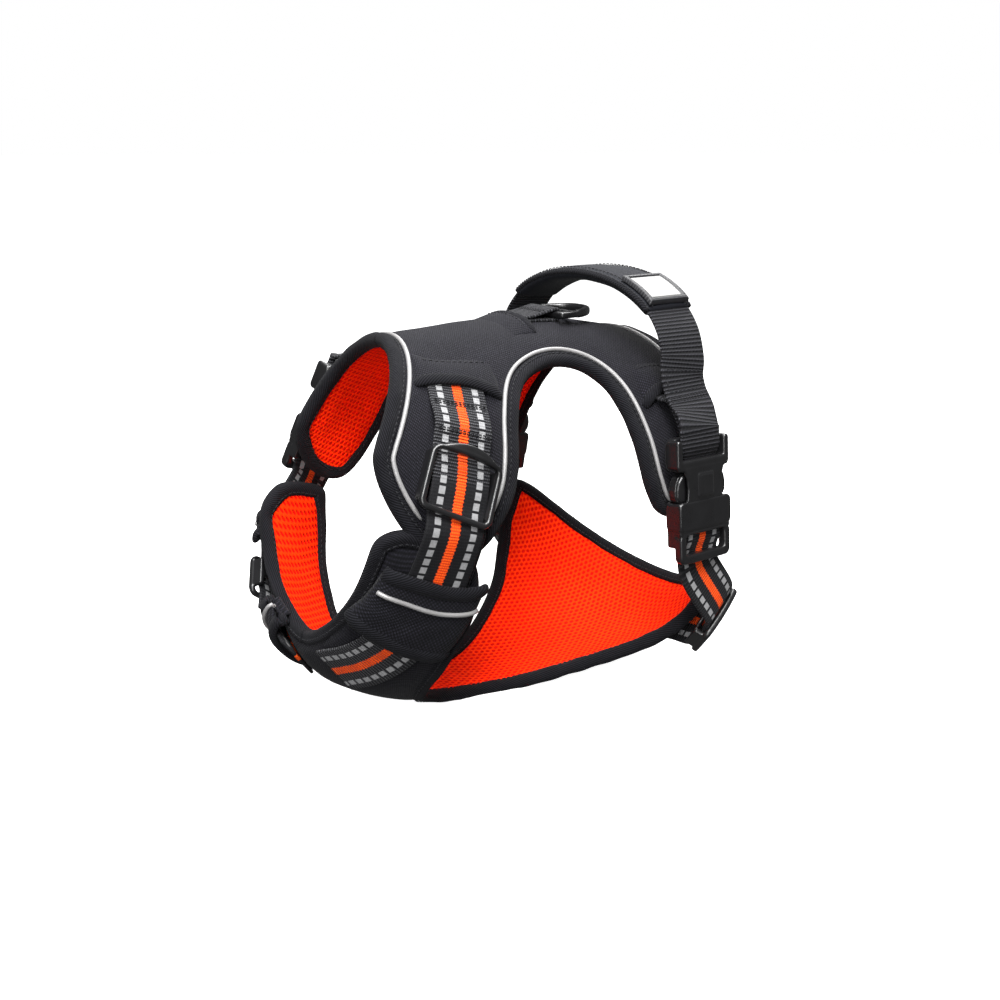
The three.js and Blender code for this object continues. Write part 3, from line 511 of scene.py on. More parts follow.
def shell_twill(name, pitch=0.95):
    """Black nylon twill with a painted highlight on its raised threads, mottled by random flecks and patches.
    """
    look = Look(name, Roughness=0.9, Sheen_Weight=0.03, Sheen_Roughness=0.5, Specular_IOR_Level=0.15)
    u, v, _ = look.cloth()
    weave = weave_height(u + v * 0.35, v, pitch)
    patch = look.noise(14.0)
    fleck = look.noise(0.9, 2.0).step(0.42, 0.7)
    # Painted highlight: the raised threads of the weave are coloured lighter, broken up by random flecks and
    # patches.
    thread_highlight = weave.step(0.35, 0.95) * (fleck * 0.5 + 0.5) * (patch * 0.5 + 0.6)
    look.colour(look.mix(thread_highlight, (0.002, 0.002, 0.003), (0.024, 0.023, 0.033)))
    look.bump(weave + fleck * 0.3 + patch * 0.4, 0.28)
    return look.material


def binding_tape(name):
    """Folded edge tape with a diagonal thread, its raised diagonal coloured lighter as a painted highlight."""
    look = Look(name, Roughness=0.9, Sheen_Weight=0.02, Sheen_Roughness=0.5, Specular_IOR_Level=0.12)
    u, v, _ = look.cloth()
    diagonal = (u + v * 0.8).sine(1.5) * 0.5 + 0.5
    thread = (u - v).sine(0.8) * 0.5 + 0.5
    patch = look.noise(9.0)
    # Painted highlight: the raised diagonal of the twill is coloured lighter, broken by the cross thread and
    # random patches.
    thread_highlight = diagonal.step(0.3, 0.95) * (thread * 0.3 + 0.7) * (patch * 0.7 + 0.45)
    look.colour(look.mix(thread_highlight, (0.0022, 0.0022, 0.003), (0.014, 0.014, 0.018)))
    look.bump(diagonal * 0.8 + thread * 0.2 + patch, 0.3)
    return look.material


def orange_mesh(name, pitch=3.8):
    """Spacer mesh: a honeycomb of round holes, coloured darker and redder inside as painted shade in the holes.
    """
    look = Look(name, Roughness=0.85, Specular_IOR_Level=0.06)
    u, v, _ = look.cloth()
    tall = pitch * math.sqrt(3)

    def distance(shift):
        across = (u.saw(pitch, shift) - 0.5) * pitch
        down = (v.saw(tall, shift) - 0.5) * (tall * 0.84)
        return (across * across + down * down).math("SQRT")

    hole = distance(0.0).math("MINIMUM", distance(0.5))
    open_mesh = hole.step(0.6, 1.45)
    thread = (hole.sine(0.8) * 0.5 + 0.5) * (look.noise(0.8) + 0.4)
    patch = look.noise(25.0)
    ground = look.mix((thread * 0.5 + patch * 0.6), (0.98, 0.018, 0.0005), (1.0, 0.042, 0.0012))
    # Painted shade: the holes are coloured a darker red than the mesh round them.
    look.colour(look.mix(open_mesh, (0.72, 0.003, 0.001), ground))
    look.bump(open_mesh + thread * 0.15, 0.55)
    return look.material


def webbing(name, striped, rib_pitch=1.75):
    """Woven strap: cross ribs with a painted highlight on their crests, and on the striped kind an orange band
    between reflective dashes.
    """
    look = Look(name, Roughness=0.72, Sheen_Weight=0.03, Sheen_Roughness=0.4, Specular_IOR_Level=0.18)
    u, v, strength = look.cloth()
    rib = v.sine(rib_pitch) * 0.5 + 0.5
    speck = ((u.sine(1.15) * v.sine(rib_pitch * 2)) * 0.5 + 0.5).step(0.45, 0.9)
    fine = (u.sine(0.9) * v.sine(0.9)) * 0.5 + 0.5
    grain = look.noise(1.2, 2.0)
    # Painted highlight: the crests of the ribs are coloured lighter, dotted with lighter specks and scaled by
    # the rib strength; the fine weave adds a faint lighter tone.
    rib_highlight = rib.step(0.45, 0.95) * (speck * 0.7 + 0.3) * strength
    thread_highlight = rib_highlight * (grain * 0.8 + 0.5) + fine * 0.06
    rib_highlight_colour = (0.10, 0.10, 0.11) if striped else (0.055, 0.055, 0.064)
    ground = look.mix(thread_highlight, (0.002, 0.002, 0.0028), rib_highlight_colour)
    relief = rib * strength * 1.2 + speck * strength * 0.4 + fine * 0.25
    if striped:
        side = u.abs()
        wave = v.sine(2.1) * 0.28
        band = (side + wave).step(2.95, 2.45)
        # Painted highlight: the orange threads are coloured lighter where they are raised.
        thread = (v.sine(1.5) * 0.5 + 0.5) * (u.sine(1.3) * 0.25 + 0.75)
        orange = look.mix(thread, (0.62, 0.035, 0.003), (1.0, 0.125, 0.008))
        ground = look.mix(band, ground, orange)
        dash = (side - 10.4).abs().step(1.95, 1.6) * (v.saw(5.4) - 0.5).abs().step(0.385, 0.345)
        silver = look.mix(grain, (0.16, 0.16, 0.165), (0.32, 0.32, 0.325))
        ground = look.mix(dash, ground, silver)
        relief = relief * (dash * -0.7 + 1.0) + band * 0.35 + thread * band * 0.5
    look.colour(ground)
    look.bump(relief, 0.5)
    return look.material


def reflective_piping(name):
    """Silver-grey cord."""
    look = Look(name, Metallic=0.2, Specular_IOR_Level=0.5, Coat_Weight=0.1)
    grain = look.noise(0.6, 2.0)
    smear = look.noise(7.0)
    look.colour(look.mix(grain * 0.4 + smear * 0.5, (0.16, 0.157, 0.157), (0.36, 0.353, 0.353)))
    look.rough(grain * 0.2 + 0.34)
    look.bump(grain + smear * 0.6, 0.12)
    return look.material


def moulded_plastic(name, base, gloss, grain_depth):
    """Moulded nylon: fine grain, faint flow marks and paler scuffs scattered at random."""
    look = Look(name, Specular_IOR_Level=0.5, Coat_Weight=0.12, Coat_Roughness=0.25)
    grain = look.noise(0.35, 2.0)
    flow = look.noise(9.0)
    scuff = look.noise(2.6, 5.0).step(0.62, 0.8)
    dark = tuple(c * 0.7 for c in base)
    pale = tuple(c * 1.8 + 0.003 for c in base)
    look.colour(look.mix(flow * 0.5 + scuff * 0.35, dark, pale))
    look.rough(grain * 0.12 + flow * 0.1 + gloss)
    look.bump(grain, grain_depth)
    return look.material


def grip_fabric(name):
    """Fine padded cloth of the handle."""
    look = Look(name, Roughness=0.75, Sheen_Weight=0.03, Sheen_Roughness=0.4, Specular_IOR_Level=0.15)
    grain = look.noise(0.7, 3.0)
    patch = look.noise(12.0)
    look.colour(look.mix(grain * 0.5 + patch * 0.5, (0.003, 0.0033, 0.0045), (0.013, 0.014, 0.019)))
    look.bump(grain + patch * 1.4, 0.22)
    return look.material


def rubber(name, low, high, roughness):
    """Matt rubber with faint stains."""
    look = Look(name, Roughness=roughness, Specular_IOR_Level=0.4)
    grain = look.noise(0.5, 2.0)
    stain = look.noise(5.0)
    look.colour(look.mix(grain * 0.4 + stain * 0.5, low, high))
    look.bump(grain, 0.08)
    return look.material


def sewing_thread(name):
    look = Look(name, Roughness=0.65, Sheen_Weight=0.02, Specular_IOR_Level=0.2)
    look.colour(look.mix(look.noise(1.0), (0.004, 0.004, 0.005), (0.020, 0.020, 0.023)))
    look.bump(look.noise(0.4), 0.1)
    return look.material


MAKERS = {
    "shell_twill": shell_twill,
    "cover_fabric": shell_twill,
    "keeper_fabric": lambda n: shell_twill(n, 1.1),
    "binding_tape": binding_tape,
    "orange_mesh": orange_mesh,
    "reflective_piping": reflective_piping,
    "striped_webbing": lambda n: webbing(n, True),
    "ribbed_webbing": lambda n: webbing(n, False, 2.3),
    "narrow_webbing": lambda n: webbing(n, False, 2.1),
    "grip_fabric": grip_fabric,
    "buckle_plastic": lambda n: moulded_plastic(n, (0.0050, 0.0050, 0.0056), 0.19, 0.015),
    "slider_plastic": lambda n: moulded_plastic(n, (0.0060, 0.0060, 0.0066), 0.20, 0.025),
    "ring_plastic": lambda n: moulded_plastic(n, (0.0050, 0.0050, 0.0055), 0.17, 0.015),
    "patch_rubber": lambda n: rubber(n, (0.007, 0.007, 0.008), (0.022, 0.022, 0.025), 0.5),
    "patch_face": lambda n: rubber(n, (0.20, 0.20, 0.197), (0.29, 0.287, 0.283), 0.65),
    "sewing_thread": sewing_thread,
}
LOOKS = {}


def look_for(kind):
    """The material of a kind, made once."""
    if kind not in LOOKS:
        LOOKS[kind] = MAKERS[kind]("look_" + kind)
    return LOOKS[kind]


# ---------------------------------------------------------------- adding pieces
def add_piece(name, shape, kind, body="vest", nodes=(), weld=0.0):
    """A new mesh in the row frame that rides on a body and may stand for CAD nodes."""
    shape.verts[:, 2] = np.maximum(shape.verts[:, 2], GROUND)
    mesh = bpy.data.meshes.new(name)
    mesh.from_pydata(((shape.verts + SHIFT) / 1000.0).tolist(), [], shape.faces)
    attribute = mesh.attributes.new("cloth", "FLOAT_VECTOR", "POINT")
    attribute.data.foreach_set("vector", shape.cloth.astype(np.float32).ravel())
    work = bmesh.new()
    work.from_mesh(mesh)
    if weld:
        bmesh.ops.remove_doubles(work, verts=work.verts, dist=weld / 1000.0)
    bmesh.ops.recalc_face_normals(work, faces=work.faces)
    work.to_mesh(mesh)
    work.free()
    mesh.polygons.foreach_set("use_smooth", [True] * len(mesh.polygons))
    mesh.materials.append(look_for(kind))
    piece = bpy.data.objects.new(name, mesh)
    bpy.context.scene.collection.objects.link(piece)
    if body:
        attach(piece, body)
    if nodes:
        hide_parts(*nodes)
    return piece


# ---------------------------------------------------------------- panels
def half_outline(panel, places):
    """[angle, along] round half of a panel's edge."""
    pairs = smooth_curve(panel.outline * EVEN, np.asarray(places, float), 0)
    return np.stack([np.maximum(0, pairs[:, 0]), np.clip(pairs[:, 1] / 100, 0, 1)], axis=-1)


def move_over(panel, pairs, direction, distance):
    """Moves [angle, along] pairs over the surface by a distance in a direction."""
    across, down = surface_tangents(panel, pairs[..., 0], pairs[..., 1])
    wanted = direction * np.asarray(distance, float)[..., None]
    aa, ad, dd = (across * across).sum(-1), (across * down).sum(-1), (down * down).sum(-1)
    wa, wd = (wanted * across).sum(-1), (wanted * down).sum(-1)
    det = aa * dd - ad * ad
    moved = np.stack([(wa * dd - wd * ad) / det, (wd * aa - wa * ad) / det], axis=-1)
    return pairs + moved


Edge = namedtuple("Edge", "pairs path")


def panel_edge(panel):
    """Even frames all the way round a panel's edge, with x pointing out over the edge."""
    places = np.linspace(0, END, END * 40 + 1)
    half = half_outline(panel, places)
    far = half[::-1][1:-1] * [-1, 1]
    loop = np.vstack([half, far, half[:1]])
    points = surface_point(panel, loop[:, 0], loop[:, 1])
    length = run_length(points)
    count = int(length[-1] / EDGE_STEP)
    at = np.arange(count) * length[-1] / count
    pairs = np.stack([np.interp(at, length, loop[:, k]) for k in range(2)], axis=-1)
    origin = surface_point(panel, pairs[:, 0], pairs[:, 1])
    normal = surface_normal(panel, pairs[:, 0], pairs[:, 1])
    tangent = unit(np.roll(origin, -2, axis=0) - np.roll(origin, 2, axis=0))
    outward = unit(np.cross(tangent, normal)) * panel.outward
    return Edge(pairs, Path(origin, outward, tangent, normal, at))


def settled(panel, points):
    """The chest plate's underside is flat where the harness stands."""
    if panel is CHEST:
        points[..., 2] = np.maximum(points[..., 2], GROUND)
    return points


CHUNK = 2000                                   # points compared at a time, to save memory


def nearest_edge(edge, points):
    """Distance to the panel's edge and length along it, for each point."""
    outline = edge.path.origin
    flat = points.reshape(-1, 3)
    distance = np.empty(len(flat))
    place = np.empty(len(flat))
    for start in range(0, len(flat), CHUNK):
        some = slice(start, start + CHUNK)
        gap = ((flat[some, None] - outline[None]) ** 2).sum(axis=-1)
        best = gap.argmin(axis=1)
        distance[some] = np.sqrt(gap[np.arange(len(gap)), best])
        place[some] = edge.path.length[best]
    return distance.reshape(points.shape[:-1]), place.reshape(points.shape[:-1])


GRID_INSET = 2.0                               # the grids start this far in from the edge
BRIDGE_STEPS, EDGE_STEPS, GRID_ROWS = 8, 72, 34


def panel_grids(panel):
    """Four grids of [angle, along] that cover a panel, one for each lobe with its half of the bridge."""
    outer = np.concatenate([BRIDGE * np.arange(BRIDGE_STEPS) / BRIDGE_STEPS,
                            np.linspace(BRIDGE, TIP, EDGE_STEPS + 1)])
    middle = panel.outline[APEX][1]
    across = np.arange(BRIDGE_STEPS)[:, None] / BRIDGE_STEPS
    ease = 0.5 - 0.5 * np.cos(np.pi * np.linspace(0, 1, GRID_ROWS + 1))
    spread = (0.55 * ease + 0.45 * np.linspace(0, 1, GRID_ROWS + 1))[:, None]
    grids = []
    for side in (NEAR, FAR):
        for rear in (False, True):
            outside = inset_pairs(panel, side, END - outer if rear else outer, GRID_INSET)
            inner_places = np.linspace(APEX, REAR_TIP if rear else TIP, EDGE_STEPS + 1)
            inside = inset_pairs(panel, side, inner_places, GRID_INSET)
            start = np.array([0, middle])
            bridge = start + (inside[0] - start) * across
            inside = np.vstack([bridge, inside])
            outside[0, 0] = 0
            grids.append(outside[:, None] + (inside - outside)[:, None] * spread)
    return grids


def inset_pairs(panel, side, places, distance):
    """[angle, along] pairs a little inside a panel's edge."""
    places = np.asarray(places, float)
    here = half_outline(panel, places) * [side, 1]
    ahead = half_outline(panel, np.minimum(places + 0.02, END)) * [side, 1]
    behind = half_outline(panel, np.maximum(places - 0.02, 0)) * [side, 1]
    tangent = unit(surface_point(panel, ahead[:, 0], ahead[:, 1])
                   - surface_point(panel, behind[:, 0], behind[:, 1]))
    normal = surface_normal(panel, here[:, 0], here[:, 1])
    outward = unit(np.cross(tangent, normal)) * side * panel.outward
    moved = move_over(panel, here, outward, np.full(len(here), -distance))
    moved[:, 0] = side * np.maximum(0, side * moved[:, 0])
    return moved


def padding_height(distance, place, u, v, crown, seed):
    """Height of the padded fabric: sewn down at the bound edge, full in the middle, softly creased."""
    inside = np.maximum(distance - TAPE, 0)
    full = 1 - np.exp(-inside / 8.0)
    height = 2.0 + crown * full
    height += 0.22 * ripple(u, v, seed, 38.0) * full
    pucker = np.exp(-inside / 7.0) * smoothstep(distance, 8.0, 11.0)
    return height + 0.16 * pucker * ripple(place, 0.0, seed + 1, 10.0)


def padded_layer(panel, edge, outward, crown, seed):
    """One closed padded layer of a panel, outside (1) or inside (-1) the body surface."""
    shapes = []
    for grid in panel_grids(panel):
        angle, along = grid[..., 0], grid[..., 1]
        base = surface_point(panel, angle, along)
        normal = surface_normal(panel, angle, along) * outward
        distance, place = nearest_edge(edge, base)
        u, v = arc_coordinates(panel, angle, along)
        height = padding_height(distance, place, u, v, crown, seed)
        height *= smoothstep(distance, 1.6, 5.0)
        top = settled(panel, base + normal * (0.15 + height)[..., None])
        bottom = settled(panel, base + normal * 0.15)
        cloth = cloth_at(u, v).reshape(-1, 3)
        faces = grid_faces(*top.shape[:2])
        shapes += [Shape(sheet.reshape(-1, 3), faces, cloth) for sheet in (top, bottom)]
    return join(shapes)


def bound_edge(panel, edge, seed):
    """The tape folded over a panel's edge, laid over its curved faces."""
    section = TAPE_SECTION
    path = edge.path
    count = len(path.origin)
    wobble = ripple(path.length, 0.0, seed, 24.0)
    depth = section[None, :, 0] + 0.2 * wobble[:, None] * smoothstep(section[None, :, 0], 2, 7)
    pairs = np.repeat(edge.pairs[:, None], len(section), axis=1)
    direction = np.repeat(path.x[:, None], len(section), axis=1)
    moved = move_over(panel, pairs, direction, -np.maximum(depth, 0))
    base, normal = above(panel, moved[..., 0], moved[..., 1], np.zeros(depth.shape))
    overhang = np.maximum(-depth, 0)[..., None]
    swell = 1 + 0.05 * ripple(path.length, 0.0, seed + 5, 17.0)[:, None]
    points = settled(panel, base + normal * (section[None, :, 1] * swell)[..., None]
                     + direction * overhang)
    cloth = cloth_at(run_length(section), path.length[:, None])
    columns = len(section)
    faces = grid_faces(count, columns, True, False)
    back = settled(panel, base + normal * (section[None, :, 1] * 0.72)[..., None] - direction * 0.6)
    shift = count * columns
    inner = [[k + shift for k in face] for face in faces]
    rims = []
    for i in range(count):
        a, b = i * columns, ((i + 1) % count) * columns
        c, d = a + columns - 1, b + columns - 1
        rims += [[a, b, b + shift, a + shift], [c, d, d + shift, c + shift]]
    verts = np.vstack([points.reshape(-1, 3), back.reshape(-1, 3)])
    return Shape(verts, faces + inner + rims, np.vstack([cloth.reshape(-1, 3)] * 2))


def edge_line(panel, edge, distance, lift, outside=True):
    """Closed path that follows a panel's edge a given distance inside it, over either face."""
    path = edge.path
    moved = move_over(panel, edge.pairs, path.x, np.full(len(path.origin), -float(distance)))
    side = 1 if outside else -1
    base, normal = above(panel, moved[:, 0], moved[:, 1], np.full(len(moved), float(side * lift)))
    base = settled(panel, base)
    tangent = unit(np.roll(base, -1, axis=0) - np.roll(base, 1, axis=0))
    normal = normal * side
    x = unit(np.cross(tangent, normal))
    z = np.cross(x, tangent)
    return Path(base, x, tangent, z, run_length(base))


def build_panel(panel, node, seed):
    """Padded shell and lining, the bound edge and its stitching; returns the edge."""
    edge = panel_edge(panel)
    shell = add_piece(f"{panel.name}_shell", padded_layer(panel, edge, 1, 2.3, seed),
                      "shell_twill", nodes=[f"{node}_shell"], weld=0.02)
    lining = add_piece(f"{panel.name}_lining", padded_layer(panel, edge, -1, 2.0, seed + 9),
                       "orange_mesh", nodes=[f"{node}_lining"], weld=0.02)
    add_piece(f"{panel.name}_edge_tape", bound_edge(panel, edge, seed + 3), "binding_tape",
              nodes=[f"{node}_binding"])
    rows = [stitches(edge_line(panel, edge, EDGE_STITCH_AT, 3.5, outside)) for outside in (True, False)]
    add_piece(f"{panel.name}_edge_stitching", join(rows), "sewing_thread")
    return edge


def piping_between(line, start, end):
    """The stretch of an edge line between two lengths round the panel, which may pass the start."""
    total = line.length[-1] + EDGE_STEP
    order = (line.length - start) % total
    keep = np.argsort(order)[:int((((end - start) % total) / total) * len(order))]
    parts = [getattr(line, name)[keep] for name in ("origin", "x", "y", "z")]
    return Path(*parts, np.arange(len(keep)) * total / len(order))


def build_piping(edge):
    """Reflective piping along the neck, the rear edge and both leg holes of the back panel."""
    line = edge_line(BACK, edge, PIPING_AT, 3.1)

    def length_at(side, place):
        """Length round the edge at a place counted in spans of the half outline."""
        pair = half_outline(BACK, [place])[0] * [side, 1]
        point = surface_point(BACK, pair[0], pair[1])
        return edge.path.length[((edge.path.origin - point) ** 2).sum(axis=1).argmin()]

    spans = {
        "neck_piping": (length_at(FAR, 5.2), length_at(NEAR, 5.2)),
        "rear_piping": (length_at(NEAR, 18.8), length_at(FAR, 18.8)),
        "leg_piping_near": (length_at(NEAR, 6.3), length_at(NEAR, 17.3)),
        "leg_piping_far": (length_at(FAR, 17.3), length_at(FAR, 6.3)),
    }
    for name, (start, end) in spans.items():
        run = piping_between(line, start, end)
        taper = 1 - 0.7 * np.abs(np.linspace(-1, 1, len(run.origin))) ** 40
        add_piece(f"bead_{name}", tube(run, PIPING_RADIUS * taper), "reflective_piping", nodes=[name])


# ---------------------------------------------------------------- moulded parts
def rounded_rectangle(x0, x1, y0, y1, radius, arch=0.0):
    """Corner-rounded rectangle as points; arch lifts the middle of its top edge."""
    corners = [(x1 - radius, y1 - radius, 0), (x0 + radius, y1 - radius, 90),
               (x0 + radius, y0 + radius, 180), (x1 - radius, y0 + radius, 270)]
    points = []
    for cx, cy, start in corners:
        for k in range(7):
            a = math.radians(start + 15 * k)
            points.append((cx + radius * math.cos(a), cy + radius * math.sin(a)))
        if start == 0:
            flat = np.linspace(x1 - radius, x0 + radius, 14)[1:-1]
            half = (x1 - x0) / 2 - radius
            middle = (x0 + x1) / 2
            points += [(x, y1 + arch * (1 - ((x - middle) / half) ** 2)) for x in flat]
    return points


def measured_mesh(obj):
    """An object with its modifiers as a shape; the object is then removed."""
    bpy.context.view_layer.update()
    graph = bpy.context.evaluated_depsgraph_get()
    mesh = obj.evaluated_get(graph).to_mesh()
    verts = np.empty(len(mesh.vertices) * 3, np.float32)
    mesh.vertices.foreach_get("co", verts)
    verts = verts.reshape(-1, 3).astype(float)
    faces = [list(face.vertices) for face in mesh.polygons]
    data = obj.data
    bpy.data.objects.remove(obj)
    if isinstance(data, bpy.types.Mesh):
        bpy.data.meshes.remove(data)
    else:
        bpy.data.curves.remove(data)
    return Shape(verts, faces, np.zeros((len(verts), 3)))


def plate(outline, low, high, bevel=1.0, holes=()):
    """Flat plate with rounded edges, from z low to z high."""
    curve = bpy.data.curves.new("plate", "CURVE")
    curve.dimensions = "2D"
    curve.fill_mode = "BOTH"
    for loop in [outline, *holes]:
        spline = curve.splines.new("POLY")
        spline.points.add(len(loop) - 1)
        spline.points.foreach_set("co", [c for x, y in loop for c in (x, y, 0.0, 1.0)])
        spline.use_cyclic_u = True
    curve.extrude = max((high - low) / 2 - bevel, 0.01)
    curve.bevel_depth = bevel
    curve.bevel_resolution = 3
    curve.offset = -bevel
    obj = bpy.data.objects.new("plate", curve)
    bpy.context.scene.collection.objects.link(obj)
    shape = measured_mesh(obj)
    shape.verts[:, 2] += (low + high) / 2
    return shape


def block(x0, x1, y0, y1, z0, z1, radius=1.0, bevel=0.8):
    """Box with rounded edges."""
    return plate(rounded_rectangle(x0, x1, y0, y1, radius), z0, z1, bevel)


def side_blocks(inner, outer, *rest):
    """The same block on the left and on the right."""
    return [block(-outer, -inner, *rest), block(inner, outer, *rest)]


def mould(shapes, voxel):
    """Melts overlapping shapes into one smooth moulding."""
    shape = join(shapes)
    mesh = bpy.data.meshes.new("mould")
    mesh.from_pydata(shape.verts.tolist(), [], shape.faces)
    obj = bpy.data.objects.new("mould", mesh)
    bpy.context.scene.collection.objects.link(obj)
    remesh = obj.modifiers.new("remesh", "REMESH")
    remesh.mode = "VOXEL"
    remesh.voxel_size = voxel
    relax = obj.modifiers.new("relax", "SMOOTH")
    relax.factor = 0.5
    relax.iterations = 3
    reduce = obj.modifiers.new("reduce", "DECIMATE")
    reduce.ratio = 0.35
    return measured_mesh(obj)


def placed(shape, run, turn=0.0, slide=0.0):
    """A shape from its own frame (x across, y up, z out) set on a run, turned about the way out."""
    c, s = math.cos(math.radians(turn)), math.sin(math.radians(turn))
    x = shape.verts[:, :1] * c - shape.verts[:, 1:2] * s
    y = shape.verts[:, :1] * s + shape.verts[:, 1:2] * c + slide
    verts = run.centre + run.across * x + run.up * y + run.outward * shape.verts[:, 2:3]
    return Shape(verts, shape.faces, shape.cloth)


def buckle_male():
    """Male half: a loop for the strap, a tapered waist with a plain raised badge, and a guide."""
    h = BUCKLE_HALF
    hole = rounded_rectangle(-SLOT_HALF, SLOT_HALF, 23.8, 32.2, 1.6)
    loop_back = plate(rounded_rectangle(-h, h, 17.6, BUCKLE_END, 5.0), -5.0, 1.2, 1.3, [hole])
    legs = side_blocks(SLOT_HALF, h, 18.5, 35.5, -4.5, 6.0, 2.0, 1.6)
    lower = block(-h + 0.4, h - 0.4, 17.4, 23.8, -4.4, 6.2, 2.5, 1.8)
    flank = [(19, 20), (16.4, 16.5), (14.8, 12), (14.2, 7), (14.6, 2), (16, -1)]
    waist_outline = [(-19, 20), *flank] + [(-x, y) for x, y in flank[:0:-1]]
    core = block(-9.2, 9.2, -1, 19, -4.4, 5.0, 1.0, 0.8)
    waist = plate(waist_outline, 4.3, 6.4, 0.9)
    badge = plate(rounded_rectangle(-6.6, 6.6, 1.4, 15.6, 1.4), 4.0, 7.2, 0.5)
    well = plate(rounded_rectangle(-5.3, 5.3, 2.7, 14.3, 0.8), 5.0, 7.7, 0.35)
    guide = block(-4, 4, -14, 3, -2.6, 2.6, 1.0, 0.8)
    return mould([loop_back, *legs, lower, core, waist, badge, well, guide], voxel=0.4)


def buckle_female():
    """Female half: a flat socket with rounded shoulders, a parting step and a window for the strap."""
    h = BUCKLE_HALF
    window = rounded_rectangle(-16.7, 16.7, -31.2, -19.8, 1.8)
    sleeve = rounded_rectangle(-h, h, -17.0, 0.0, 3.4)
    front = plate(sleeve, 3.4, 6.9, 1.2)
    back = plate(sleeve, -5.0, -3.4, 0.6)
    sides = side_blocks(18.7, h, -17.0, -0.6, -4.8, 6.4, 1.4, 1.2)
    lower = plate(rounded_rectangle(-h + 0.5, h - 0.5, -BUCKLE_END, -17.6, 4.4), 0.4, 6.4, 1.5, [window])
    floor = plate(rounded_rectangle(-h + 0.5, h - 0.5, -27.0, -15.6, 1.4), -4.8, 2.0, 0.8,
                  [rounded_rectangle(-SLOT_HALF, SLOT_HALF, -26.4, -19.8, 1.0)])
    neck = block(-h + 0.5, h - 0.5, -19.6, -16.2, -4.8, 6.0, 1.0, 0.8)
    return mould([front, back, *sides, lower, floor, neck], voxel=0.4)


def buckle_prong(side):
    """Springy side prong with a teardrop bulge that shows above the socket's shoulder."""
    outline = [(12.4, 17.4), (12.4, -12), (14, -15), (17, -15.4), (18.1, -13), (18.1, -1.4), (20.4, 0.4),
               (21.7, 3.4), (21.8, 7.0), (20.9, 11.0), (19.2, 14.0), (16.8, 16.2), (14.6, 17.4)]
    rib = [(13.6, -1), (18.0, -0.5), (20.6, 2.6), (20.7, 7.0), (19.4, 11.5), (16.4, 15.0), (13.8, 15.6)]
    shape = mould([plate(outline, -2.7, 2.7, 0.8), plate(rib, -4.2, 3.9, 1.4)], voxel=0.35)
    if side == NEAR:
        return shape
    return Shape(shape.verts * [-1, 1, 1], [face[::-1] for face in shape.faces], shape.cloth)


def slider_shape(length, bar, arch):
    """Slide adjuster: a rounded frame over the strap and a middle bar under it."""
    w, l = SLIDER_HALF, length / 2
    hole = rounded_rectangle(-w + 3.4, w - 3.4, -l + bar, l - 5.0, 2.0, arch * 0.1)
    frame_plate = plate(rounded_rectangle(-w, w, -l, l - arch * 0.6, 5.5, arch), 1.5, 5.4, 1.5, [hole])
    spans = ((w - 3.9, w - 0.6), (0.6 - w, 3.9 - w))
    rails = [block(a, b, -l + 5, l - 5, -4.2, 3.6, 1.2, 1.2) for a, b in spans]
    middle = block(-w + 1.2, w - 1.2, -3.0, 3.0, -4.2, -1.8, 1.2, 1.0)
    shape = mould([frame_plate, *rails, middle], voxel=0.38)
    x, y = shape.verts[:, 0], shape.verts[:, 1]
    shape.verts[:, 2] += 0.8 * arch * (1 - (x / w) ** 2) * smoothstep(y, l - 9, l - 3)
    return shape


# ---------------------------------------------------------------- straps
def add_strap(name, knots, kind="striped_webbing", width=WEBBING, rib=1.0, nodes=()):
    """Webbing through knots; rib is how strongly its ribs show, in relief and in their painted highlight, or a
    function of the path.
    """
    path = make_path(knots, 1.3)
    strength = rib(path) if callable(rib) else rib
    add_piece(name, sweep(path, webbing_section(width), strength), kind, nodes=nodes)
    return path


def nearest_length(path, point):
    """Length along a path at its closest place to a point."""
    return path.length[((path.origin - point) ** 2).sum(axis=1).argmin()]


def across_path(path, at, half_width):
    """Short path straight across a strap, on its face, at a length along it."""
    i = int(np.abs(path.length - at).argmin())
    a = np.linspace(-half_width, half_width, 24)[:, None]
    origin = path.origin[i] + path.x[i] * a + path.z[i] * ON_FACE
    same = np.ones((24, 1))
    return Path(origin, -path.y[i] * same, path.x[i] * same, path.z[i] * same, a[:, 0] + half_width)


ON_FACE = 1.05                                 # stitches lie this far out from a strap's middle
BOX_HALF = 13.5


def bar_tack(path, at, half_width=15.2, rows=4):
    """Dense rows of stitches across a strap where it is sewn down."""
    lines = [across_path(path, at + 0.9 * k, half_width) for k in range(rows)]
    return join([stitches(line, 1.9, 0.35, 0.34, 0.3) for line in lines])


def box_stitch(path, start, end):
    """Sewn box: two rows along the strap and one across each end."""
    rows = [lifted(part_of(path, start, end), side * BOX_HALF, ON_FACE) for side in (-1, 1)]
    rows += [across_path(path, at, BOX_HALF) for at in (start, end)]
    return join([stitches(row._replace(length=row.length - row.length[0])) for row in rows])


SHOULDER_RUN = straight_run(above(BACK, 55.0, SHOULDER, 10.2), above(BACK, 82.0, SHOULDER, 12.4))
CHEST_RUN = straight_run(above(CHEST, -58.0, 0.165, 10.8), above(CHEST, -38.0, 0.157, 10.8))
NECK_BUCKLE = flat_run(BACK, -72.0, SHOULDER, 10.4)
ON_BAR, BEHIND_BAR = 2.7, -0.9


def through_slider(run, half, hump):
    """Knots for a strap that goes under a slider's end bars and over its middle bar."""
    places = [(half + 10, 0), (half + 3, 0), (half - 3, 0), (5, hump), (-5, hump), (3 - half, 0),
              (-half - 3, 0), (-half - 10, 0)]
    return [on_run(run, y, z) for y, z in places]


